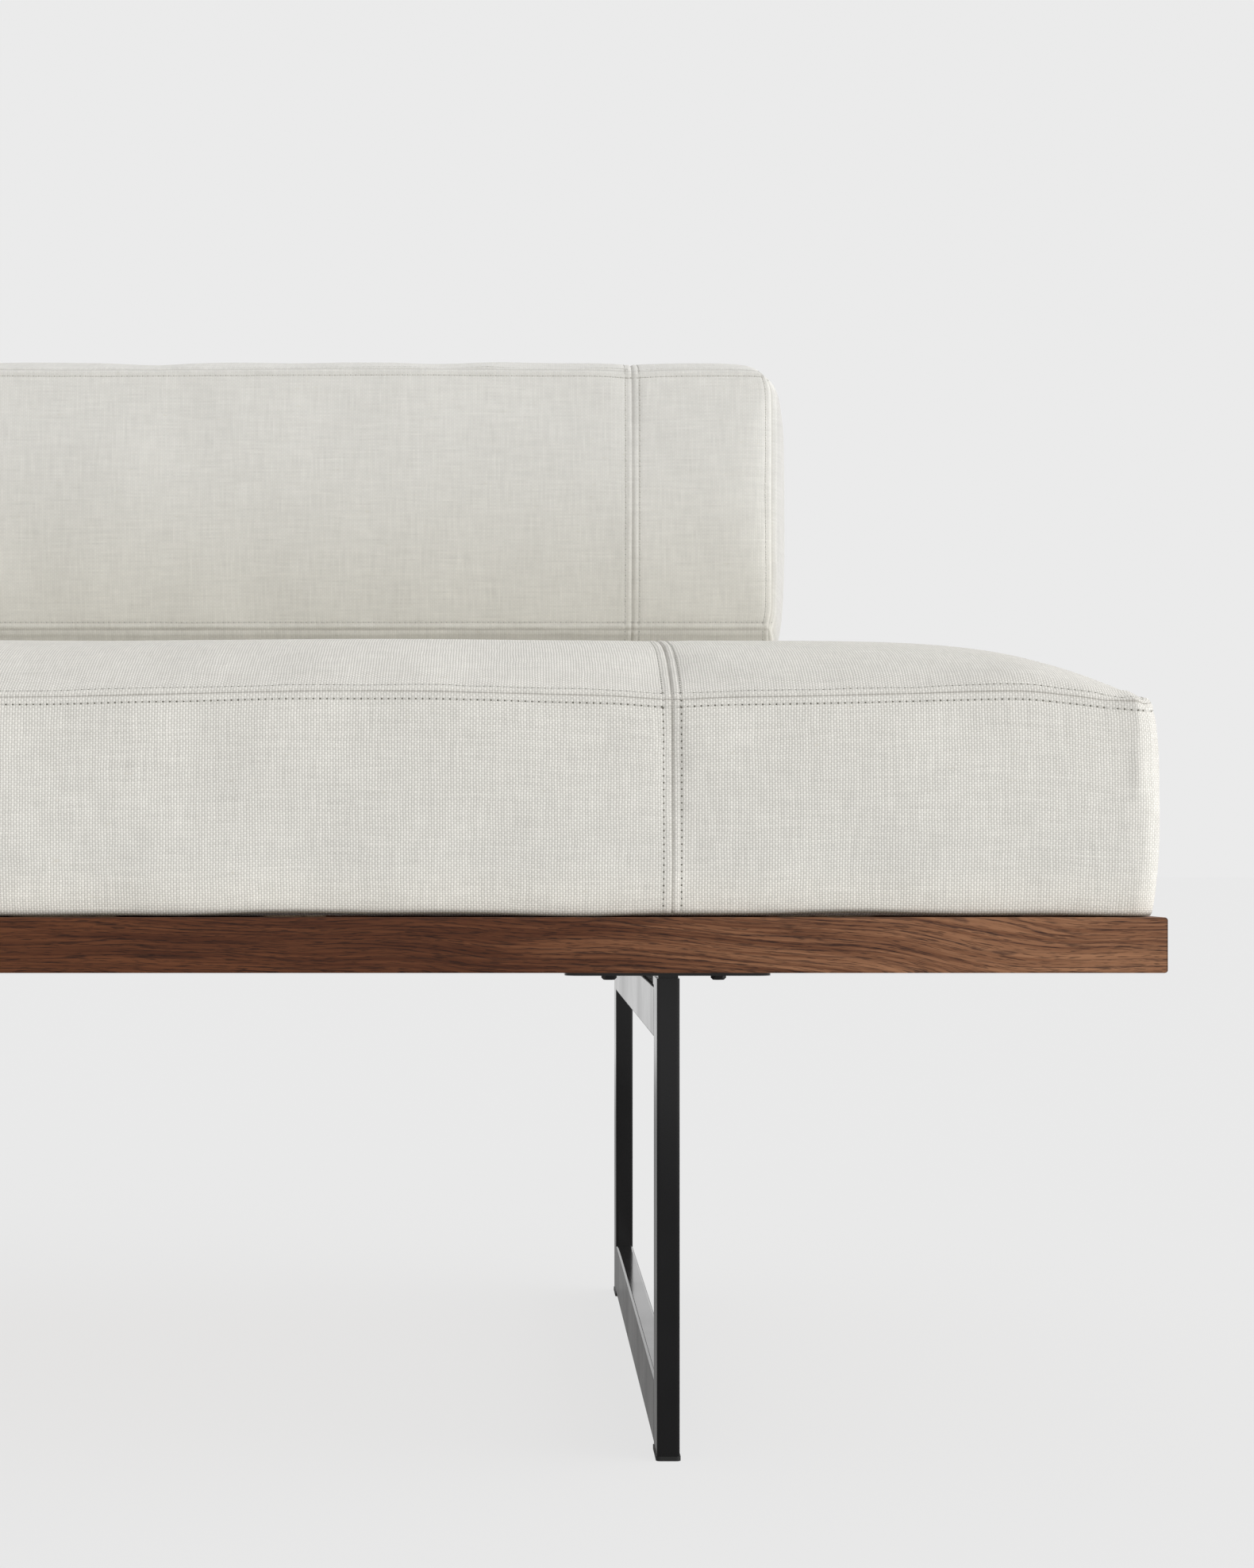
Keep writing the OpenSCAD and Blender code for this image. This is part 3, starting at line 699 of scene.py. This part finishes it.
def material(name):
    m = bpy.data.materials.new(name)
    m.use_nodes = True
    m.node_tree.nodes.clear()
    t = Tree(m.node_tree)
    out = t.add("ShaderNodeOutputMaterial")
    shader = t.add("ShaderNodeBsdfPrincipled")
    t.put(shader.outputs[0], out.inputs["Surface"])
    return m, t, shader.inputs


def place(t):
    return t.add("ShaderNodeTexCoord").outputs["Object"]


def linen(name, colour, gap, fleck, low_z, high_z, low_painted_light, seam_shade_depth, relief, weft_tone, shaded_end_x=2.0):
    m, t, s = material(name)
    uv = t.add("ShaderNodeUVMap", uv_map="cloth_metres").outputs[0]
    weave = t.use(WEAVE, Cloth=uv, Pitch=THREAD_PITCH, Weft_Tone=weft_tone, Colour=colour, Gap_Colour=gap,
                  Fleck_Colour=fleck)
    x, _, z = t.split(place(t))
    # Painted light and shade by height: from high_z down to low_z the cloth is multiplied by the low colour.
    # This is lighter on the seat's lower side band, and darker and warmer towards the bolster's base.
    painted_light_tint = t.mix(t.ramp(z, low_z, high_z), low_painted_light, (1.0, 1.0, 1.0))
    # Painted shade: the bolster's end panels are darkened to 0.80 of the cloth colour.
    painted_light_tint = t.mix(t.ramp(t.math("ABSOLUTE", x), shaded_end_x - 0.004, shaded_end_x + 0.004), painted_light_tint, (0.80, 0.80, 0.81))
    colour = t.mix(1.0, weave["Colour"], painted_light_tint, "MULTIPLY")
    # Painted shade: the cloth is darkened towards (0.30, 0.28, 0.25) in the seam grooves, and in a painted
    # shadow line along the seat's tucked base edge.
    seam_shade_mask = t.add("ShaderNodeAttribute", attribute_name="seam_shade").outputs["Fac"]
    seam_shaded_colour = t.mix(1.0, colour, (0.30, 0.28, 0.25), "MULTIPLY")
    colour = t.mix(t.math("MULTIPLY", seam_shade_mask, seam_shade_depth), colour, seam_shaded_colour)
    t.put(colour, s["Base Color"])
    s["Roughness"].default_value = 0.86
    s["Specular IOR Level"].default_value = 0.18
    s["Sheen Weight"].default_value = 0.12
    s["Sheen Roughness"].default_value = 0.5
    t.put(t.bump(weave["Height"], 0.00035, relief), s["Normal"])
    return m


def timber(name, dark, mid, light, slope, line, rough, turned=False, right_tone_and_light=None):
    m, t, s = material(name)
    at = place(t)
    if turned:
        x, y, z = t.split(at)
        at = t.join(y, x, z)
    wood = t.use(GRAIN, Vector=at, Dark=dark, Mid=mid, Light=light, Slope=slope, Line_Size=line)
    colour = wood["Colour"]
    # Paler towards the right-hand end: partly the board's own change of tone, partly painted light from the
    # right-hand side.
    if right_tone_and_light is not None:
        x = t.split(place(t))[0]
        along = t.math("ADD", x, t.math("MULTIPLY_ADD", wood["Figure"], 0.4, -0.2))
        share = t.ramp(along, 0.62, 1.06, 0.0, 1.35)
        colour = t.mix(share, colour, t.mix(1.0, colour, right_tone_and_light, "MULTIPLY"))
    edge = t.use(EDGE, Size=0.0012)["Edge"]
    # Darker along the sharp edges.
    colour = t.mix(t.math("MULTIPLY", edge, 0.55), colour, dark)
    t.put(colour, s["Base Color"])
    t.put(t.ramp(wood["Figure"], 0.3, 0.7, rough + 0.07, rough - 0.05), s["Roughness"])
    s["Specular IOR Level"].default_value = 0.2
    t.put(t.bump(t.math("SUBTRACT", wood["Figure"], wood["Pores"]), 0.00008, 0.5), s["Normal"])
    return m


def coated(name, colour, rough, specular, grain, height, metal=0.0, edge_highlight=None):
    m, t, s = material(name)
    coat = t.use(COAT, Vector=place(t), Grain=grain)
    base = t.mix(t.ramp(coat["Patches"], 0.3, 0.7), [c * 0.85 for c in colour], [c * 1.12 for c in colour])
    if edge_highlight is not None:
        # Painted highlight: lighter along the sharp edges, where the tube's rounded corners catch the light.
        base = t.mix(t.math("MULTIPLY", t.use(EDGE, Size=0.0008)["Edge"], 0.35), base, edge_highlight)
    t.put(base, s["Base Color"])
    s["Metallic"].default_value = metal
    s["Specular IOR Level"].default_value = specular
    t.put(t.ramp(coat["Patches"], 0.3, 0.7, rough - 0.03, rough + 0.04), s["Roughness"])
    t.put(t.bump(coat["Height"], height, 0.35), s["Normal"])
    return m


def foam_material():
    m, t, s = material("upholstery_foam")
    cells = t.add("ShaderNodeTexVoronoi")
    t.put(place(t), cells.inputs["Vector"])
    cells.inputs["Scale"].default_value = 900.0
    cell = t.ramp(cells.outputs["Distance"], 0.1, 0.6)
    t.put(t.mix(cell, (0.62, 0.55, 0.36), (0.8, 0.75, 0.55)), s["Base Color"])
    s["Roughness"].default_value = 0.95
    t.put(t.bump(cells.outputs["Distance"], 0.0003, 0.5), s["Normal"])
    return m


def tape_material():
    m, t, s = material("zip_tape_cloth")
    weave = t.use(WEAVE, Cloth=t.join(*[t.split(place(t))[i] for i in (0, 2, 1)]), Pitch=0.0008,
                  Colour=(0.74, 0.725, 0.68), Gap_Colour=(0.5, 0.485, 0.44), Fleck_Colour=(0.6, 0.58, 0.52))
    t.put(weave["Colour"], s["Base Color"])
    s["Roughness"].default_value = 0.8
    t.put(t.bump(weave["Height"], 0.0002, 0.6), s["Normal"])
    return m


def thread_material(name, colour):
    m, t, s = material(name)
    twist = t.noise(place(t), 2200.0, 2.0, 0.6)
    t.put(t.mix(t.ramp(twist, 0.3, 0.7), [c * 0.82 for c in colour], colour), s["Base Color"])
    s["Roughness"].default_value = 0.7
    s["Sheen Weight"].default_value = 0.1
    t.put(t.bump(twist, 0.00006, 0.5), s["Normal"])
    return m


# Painted shade: flat dark discs stand in for the shade inside the needle holes.
def hole_shade_material(name, dark, light):
    m, t, s = material(name)
    hole_mottle = t.noise(place(t), 700.0, 2.0)
    t.put(t.mix(t.ramp(hole_mottle, 0.3, 0.7), dark, light), s["Base Color"])
    s["Roughness"].default_value = 1.0
    s["Specular IOR Level"].default_value = 0.0
    return m


# ---------------------------------------------------------------- stitches and zip teeth

def geometry_group(name, sockets):
    tree = bpy.data.node_groups.new(name, "GeometryNodeTree")
    tree.interface.new_socket(name="Geometry", in_out="INPUT", socket_type="NodeSocketGeometry")
    ids = {}
    for label, kind in sockets:
        ids[label] = tree.interface.new_socket(name=label, in_out="INPUT", socket_type=kind).identifier
    tree.interface.new_socket(name="Geometry", in_out="OUTPUT", socket_type="NodeSocketGeometry")
    t = Tree(tree)
    return tree, t, ids, t.add("NodeGroupInput").outputs, t.add("NodeGroupOutput").inputs


def along_row(t, given):
    """Points every pitch along the drawn rows, and how a piece lies there."""
    curve = t.add("GeometryNodeMeshToCurve")
    t.put(given["Geometry"], curve.inputs[0])
    even = t.add("GeometryNodeResampleCurve", mode="LENGTH")
    t.put(curve.outputs[0], even.inputs["Curve"])
    t.put(given["Pitch"], even.inputs["Length"])
    tangent = t.add("GeometryNodeInputTangent").outputs[0]
    out = t.add("GeometryNodeInputNamedAttribute", data_type="FLOAT_VECTOR")
    out.inputs["Name"].default_value = "row_normal"
    first = t.add("FunctionNodeAlignRotationToVector", axis="X")
    t.put(tangent, first.inputs["Vector"])
    second = t.add("FunctionNodeAlignRotationToVector", axis="Z", pivot_axis="X")
    t.put(first.outputs[0], second.inputs["Rotation"])
    t.put(out.outputs[0], second.inputs["Vector"])
    return even.outputs[0], tangent, second.outputs[0]


def placed(t, points, rotation, shape, scale, finish, offset=None):
    if offset is not None:
        moved = t.add("GeometryNodeSetPosition")
        t.put(points, moved.inputs["Geometry"])
        t.put(offset, moved.inputs["Offset"])
        points = moved.outputs[0]
    on = t.add("GeometryNodeInstanceOnPoints")
    t.put(points, on.inputs["Points"])
    t.put(shape, on.inputs["Instance"])
    t.put(rotation, on.inputs["Rotation"])
    t.put(scale, on.inputs["Scale"])
    real = t.add("GeometryNodeRealizeInstances")
    t.put(on.outputs[0], real.inputs[0])
    painted = t.add("GeometryNodeSetMaterial")
    t.put(real.outputs[0], painted.inputs["Geometry"])
    t.put(finish, painted.inputs["Material"])
    return painted.outputs[0]


def stitch_rows_group():
    tree, t, ids, given, result = geometry_group(
        "stitch_rows", [("Pitch", "NodeSocketFloat"), ("Stitch Length", "NodeSocketFloat"),
                        ("Thread Radius", "NodeSocketFloat"), ("Hole Radius", "NodeSocketFloat"),
                        ("Thread", "NodeSocketMaterial"), ("Hole", "NodeSocketMaterial")])
    points, tangent, rotation = along_row(t, given)
    bead = t.add("GeometryNodeMeshUVSphere")
    bead.inputs["Segments"].default_value = 6
    bead.inputs["Rings"].default_value = 4
    soft = t.add("GeometryNodeSetShadeSmooth")
    t.put(bead.outputs[0], soft.inputs["Geometry"])
    half = t.math("MULTIPLY", given["Stitch Length"], 0.5)
    size = t.join(half, given["Thread Radius"], given["Thread Radius"])
    threads = placed(t, points, rotation, soft.outputs[0], size, given["Thread"])
    # Each needle hole is a flat dark disc: painted shade.
    disc = t.add("GeometryNodeMeshCircle", fill_type="NGON")
    disc.inputs["Vertices"].default_value = 6
    disc.inputs["Radius"].default_value = 1.0
    shift = t.add("ShaderNodeVectorMath", operation="SCALE")
    t.put(tangent, shift.inputs[0])
    t.put(t.math("MULTIPLY", given["Pitch"], 0.5), shift.inputs["Scale"])
    hole_size = t.join(given["Hole Radius"], given["Hole Radius"], given["Hole Radius"])
    holes = placed(t, points, rotation, disc.outputs[0], hole_size, given["Hole"], shift.outputs[0])
    both = t.add("GeometryNodeJoinGeometry")
    t.put(threads, both.inputs[0])
    t.put(holes, both.inputs[0])
    t.put(both.outputs[0], result["Geometry"])
    return tree, ids


def zip_teeth_group():
    tree, t, ids, given, result = geometry_group(
        "zip_teeth", [("Pitch", "NodeSocketFloat"), ("Tooth Width", "NodeSocketFloat"),
                      ("Tooth Radius", "NodeSocketFloat"), ("Tooth", "NodeSocketMaterial")])
    points, _, rotation = along_row(t, given)
    bead = t.add("GeometryNodeMeshUVSphere")
    bead.inputs["Segments"].default_value = 6
    bead.inputs["Rings"].default_value = 3
    size = t.join(given["Tooth Radius"], t.math("MULTIPLY", given["Tooth Width"], 0.5), given["Tooth Radius"])
    teeth = placed(t, points, rotation, bead.outputs[0], size, given["Tooth"])
    t.put(teeth, result["Geometry"])
    return tree, ids


def repeated(name, rows, group, values):
    """A plain mesh of small shapes along rows; each row is (points, ways out, closed)."""
    tree, ids = group
    points = np.concatenate([r[0] for r in rows])
    outs = np.concatenate([r[1] for r in rows])
    edges, base = [], 0
    for p, _, closed in rows:
        n = len(p)
        i = np.arange(n if closed else n - 1)
        edges.append(np.stack([base + i, base + (i + 1) % n], 1))
        base += n
    mesh = bpy.data.meshes.new(name + "_rows")
    mesh.from_pydata(points.tolist(), np.concatenate(edges).tolist(), [])
    attribute = mesh.attributes.new("row_normal", "FLOAT_VECTOR", "POINT")
    attribute.data.foreach_set("vector", outs.astype(np.float32).ravel())
    drawn = bpy.data.objects.new(name + "_rows", mesh)
    bpy.context.scene.collection.objects.link(drawn)
    modifier = drawn.modifiers.new("rows", "NODES")
    modifier.node_group = tree
    for label, value in values.items():
        modifier[ids[label]] = value
    drawn.update_tag()
    bpy.context.view_layer.update()
    made = bpy.data.meshes.new_from_object(drawn.evaluated_get(bpy.context.evaluated_depsgraph_get()))
    made.name = name
    bpy.data.objects.remove(drawn)
    obj = bpy.data.objects.new(name, made)
    bpy.context.scene.collection.objects.link(obj)
    return obj


def row(points, normals, path, lift, closed=False):
    return points[path] + normals[path] * lift, normals[path], closed


STITCHES, TEETH = stitch_rows_group(), zip_teeth_group()


def stitched(name, rows, thread, holes):
    return repeated(name, rows, STITCHES, {
        "Pitch": PITCH, "Stitch Length": 0.0026, "Thread Radius": 0.00030, "Hole Radius": 0.00058,
        "Thread": thread, "Hole": holes})


# ---------------------------------------------------------------- seat cushion

seat_thread = thread_material("seat_thread", (0.62, 0.61, 0.57))
# The seat's lower side band is painted lighter, (1.11, 1.10, 1.08): painted light.
seat_cloth = linen("seat_linen_cloth", (0.820, 0.801, 0.753), (0.545, 0.526, 0.478), (0.60, 0.56, 0.47),
                   0.298, 0.335, (1.11, 1.10, 1.08), 0.55, 0.7, 0.87)
seat, seat_grid, seat_points, seat_normals = cushion("seat_cushion", Seat, 4.0, 0.0022)
seat.data.materials.append(seat_cloth)
rows = [row(seat_points, seat_normals, seat_grid.ring(inset=0.0045), 0.0001, True),
        row(seat_points, seat_normals, seat_grid.ring(height=Seat.z1 - 0.0045), 0.0001, True)]
for side in (-1, 1):
    for step in (-0.005, 0.005):
        rows.append(row(seat_points, seat_normals, seat_grid.hoop(side * SEAM_X + step)[3:-3], 0.0001))
seat_rows = stitched("seat_stitches", rows, seat_thread,
                     hole_shade_material("seat_needle_hole_shade", (0.13, 0.125, 0.105), (0.22, 0.21, 0.18)))

# ---------------------------------------------------------------- bolster

bolster_thread = thread_material("bolster_thread", (0.60, 0.59, 0.55))
# The bolster is painted darker and warmer towards its base, (0.95, 0.94, 0.905): painted shade.
bolster_cloth = linen("bolster_linen_cloth", (0.716, 0.707, 0.674), (0.695, 0.68, 0.635), (0.62, 0.59, 0.50),
                      0.48, 0.64, (0.95, 0.94, 0.905), 0.22, 0.3, 0.97, Bolster.x0 + 0.002)
bolster, bolster_grid, bolster_points, bolster_normals = cushion("bolster", Bolster, 4.0, 0.0016)
bolster.data.materials.append(bolster_cloth)
rows = []
for height in (Bolster.z1 - 0.005, Bolster.z0 + 0.005):
    k = bolster_grid.near(2, height)
    for j in (0, -1):
        rows.append(row(bolster_points, bolster_normals, bolster_grid.at[:, j, k], 0.0001))
for y in (Bolster.y0 + 0.005, Bolster.y1 - 0.005):
    rows.append(row(bolster_points, bolster_normals, bolster_grid.at[:, bolster_grid.near(1, y), -1], 0.0001))
for side in (-1, 1):
    for step in (-0.005, 0.005):
        line = bolster_grid.hoop(side * SEAM_X + step, True)
        rows.append(row(bolster_points, bolster_normals, line, 0.0001, True))
    line = bolster_grid.hoop(side * (Bolster.x0 - 0.005), True)
    rows.append(row(bolster_points, bolster_normals, line, 0.0001, True))
bolster_rows = stitched("bolster_stitches", rows, bolster_thread,
                        hole_shade_material("bolster_needle_hole_shade", (0.42, 0.41, 0.37), (0.54, 0.525, 0.48)))

# ---------------------------------------------------------------- zips

zip_metal = coated("zip_metal_cast", (0.45, 0.45, 0.44), 0.32, 0.5, 1500.0, 0.00003, 1.0)
tooth_material = coated("zip_teeth_nylon", (0.66, 0.64, 0.59), 0.45, 0.4, 2500.0, 0.00003)


def teeth_of(name, node):
    low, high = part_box(node)
    xs = np.linspace(low.x + 0.004, high.x - 0.004, 60)
    y, z = high.y + 0.0001, (low.z + high.z) / 2
    out = np.tile([0.0, 1.0, 0.0], (60, 1))
    points = np.stack([xs, np.full(60, y), np.full(60, z)], 1)
    return repeated(name, [(points, out, False)], TEETH,
                    {"Pitch": 0.0021, "Tooth Width": 0.0052, "Tooth Radius": 0.0007, "Tooth": tooth_material})


seat_teeth = teeth_of("seat_zip_teeth", "seat_zip_tape")
bolster_teeth = teeth_of("bolster_zip_teeth", "bolster_zip_tape")

# ---------------------------------------------------------------- timber, steel and fittings

WALNUT = dict(dark=(0.015, 0.0042, 0.0022), mid=(0.069, 0.0195, 0.0064), light=(0.132, 0.0440, 0.0155),
              slope=0.07, line=0.0031, rough=0.5, right_tone_and_light=(2.55, 3.7, 5.3))
BEECH = dict(dark=(0.36, 0.23, 0.13), mid=(0.52, 0.36, 0.22), light=(0.66, 0.49, 0.33), slope=0.02,
             line=0.006, rough=0.6)
# The bearers are near-black, so the gap seen behind the riser reads black.
NEAR_BLACK_BEECH = dict(dark=(0.004, 0.004, 0.004), mid=(0.0075, 0.007, 0.0065), light=(0.012, 0.011, 0.010),
               slope=0.02, line=0.006, rough=0.75)
walnut_x, walnut_y = timber("walnut_long", **WALNUT), timber("walnut_end", turned=True, **WALNUT)
beech_x, beech_y = timber("beech_long", **BEECH), timber("beech_cross", turned=True, **BEECH)
bearer_near_black = timber("beech_near_black", turned=True, **NEAR_BLACK_BEECH)
# The black steel is painted lighter along its edges: painted highlight.
black_steel = coated("black_powder_coat", (0.0090, 0.0088, 0.0092), 0.13, 0.28, 1400.0, 0.00001,
                     edge_highlight=(0.03, 0.03, 0.031))
bolt_steel = coated("bolt_black_oxide", (0.02, 0.02, 0.021), 0.38, 0.5, 2000.0, 0.00002, 0.6)
screw_steel = coated("screw_zinc", (0.42, 0.41, 0.38), 0.34, 0.5, 2400.0, 0.00002, 1.0)
insert_brass = coated("insert_brass_turned", (0.62, 0.42, 0.16), 0.3, 0.5, 2400.0, 0.00002, 1.0)
glide_plastic = coated("glide_black_plastic", (0.012, 0.012, 0.012), 0.5, 0.4, 1800.0, 0.00003)
foam, tape = foam_material(), tape_material()

FINISHES = [("front_rail rear_rail", walnut_x), ("left_end_rail right_end_rail", walnut_y),
            ("left_bearer right_bearer", bearer_near_black),
            ("left_spine centre_spine right_spine corner_blocks", beech_x),
            ("deck_screws", screw_steel), ("leg_bolts", bolt_steel), ("threaded_inserts", insert_brass),
            ("seat_zip_tape bolster_zip_tape", tape), ("seat_zip_slider bolster_zip_slider", zip_metal),
            ("seat_core bolster_core", foam), ("seat_cover", seat_cloth), ("bolster_cover", bolster_cloth)]
finish_of = {n: m for names, m in FINISHES for n in names.split()}
for name, obj in NODES.items():
    if name.startswith("slat_"):
        finish = beech_y
    elif name.endswith("glide"):
        finish = glide_plastic
    else:
        finish = finish_of.get(name, black_steel)
    obj.data.materials.clear()
    obj.data.materials.append(finish)

# ---------------------------------------------------------------- what rides on what

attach(seat, "seat")
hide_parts("seat_cover", "seat_core")
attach(seat_rows, "seat")
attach(seat_teeth, "seat")
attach(bolster, "bolster")
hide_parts("bolster_cover", "bolster_core")
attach(bolster_rows, "bolster")
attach(bolster_teeth, "bolster")

# ---------------------------------------------------------------- floor, light and camera

SKY = 0.83
FLOOR_ALBEDO, FLOOR_GLOW = 0.10, 0.724
MIRRORED_GLOW = 0.22    # the shaded floor beside the daybed, as polished faces show it


def studio_floor():
    bpy.ops.mesh.primitive_circle_add(vertices=96, radius=45.0, fill_type="NGON", location=(0, 0, 0))
    floor = bpy.context.object
    floor.name = "studio_floor"
    m, t, s = material("studio_floor_paint")
    mottle = t.ramp(t.noise(place(t), 3.0, 2.0), 0.2, 0.8, 0.995, 1.005)
    t.put(t.join(*[t.math("MULTIPLY", mottle, FLOOR_ALBEDO)] * 3), s["Base Color"])
    s["Roughness"].default_value = 1.0
    s["Specular IOR Level"].default_value = 0.0
    s["Emission Color"].default_value = (1.0, 1.0, 1.0, 1.0)
    # Painted reflection: for glossy rays only, the floor's glow falls to MIRRORED_GLOW near the daybed. This is
    # painted shade for polished faces to reflect.
    mirrored = t.add("ShaderNodeLightPath").outputs["Is Glossy Ray"]
    at = place(t)
    shaded = t.ramp(t.vector("DOT_PRODUCT", at, at), 3.0, 12.0, MIRRORED_GLOW, FLOOR_GLOW)
    drop = t.math("SUBTRACT", shaded, FLOOR_GLOW)
    t.put(t.math("MULTIPLY_ADD", mirrored, drop, FLOOR_GLOW), s["Emission Strength"])
    floor.data.materials.append(m)


def studio_light():
    world = bpy.data.worlds.new("studio_air")
    bpy.context.scene.world = world
    world.use_nodes = True
    world.node_tree.nodes.clear()
    t = Tree(world.node_tree)
    out = t.add("ShaderNodeOutputWorld")
    way = t.add("ShaderNodeTexCoord").outputs["Generated"]
    lobes = [((0.97, -0.22, 0.08), 4.0, 3.0), ((0.15, -0.95, 0.05), 4.0, 0.42)]
    total = t.ramp(t.split(way)[1], -0.6, 0.7, 0.72, 0.98)
    total = t.math("MULTIPLY_ADD", t.split(way)[0], 0.14, total)
    total = t.math("MULTIPLY", total, t.ramp(t.split(way)[2], 0.2, 1.0, 1.0, 0.68))
    for (x, y, z), power, strength in lobes:
        n = math.sqrt(x * x + y * y + z * z)
        dot = t.math("MAXIMUM", t.vector("DOT_PRODUCT", way, (x / n, y / n, z / n)), 0.0)
        total = t.math("ADD", total, t.math("MULTIPLY", t.math("POWER", dot, power), strength))
    lit = t.add("ShaderNodeBackground")
    t.put(t.join(total, total, total), lit.inputs["Color"])
    seen = t.add("ShaderNodeBackground")
    seen.inputs["Color"].default_value = (SKY, SKY, SKY, 1.0)
    pick = t.add("ShaderNodeMixShader")
    t.put(t.add("ShaderNodeLightPath").outputs["Is Camera Ray"], pick.inputs[0])
    t.put(lit.outputs[0], pick.inputs[1])
    t.put(seen.outputs[0], pick.inputs[2])
    t.put(pick.outputs[0], out.inputs["Surface"])


def camera():
    data = bpy.data.cameras.new("camera")
    data.lens, data.sensor_width = 72.51, 36.0
    data.shift_x, data.shift_y = 0.07696, 0.0448
    data.clip_start, data.clip_end = 0.05, 200.0
    cam = bpy.data.objects.new("camera", data)
    cam.location = (0.6598, -2.081, 0.334)
    cam.rotation_euler = (math.radians(90), 0.0, 0.0)
    bpy.context.scene.collection.objects.link(cam)
    bpy.context.scene.camera = cam


studio_floor()
studio_light()
camera()
bpy.context.scene.view_settings.view_transform = "Standard"
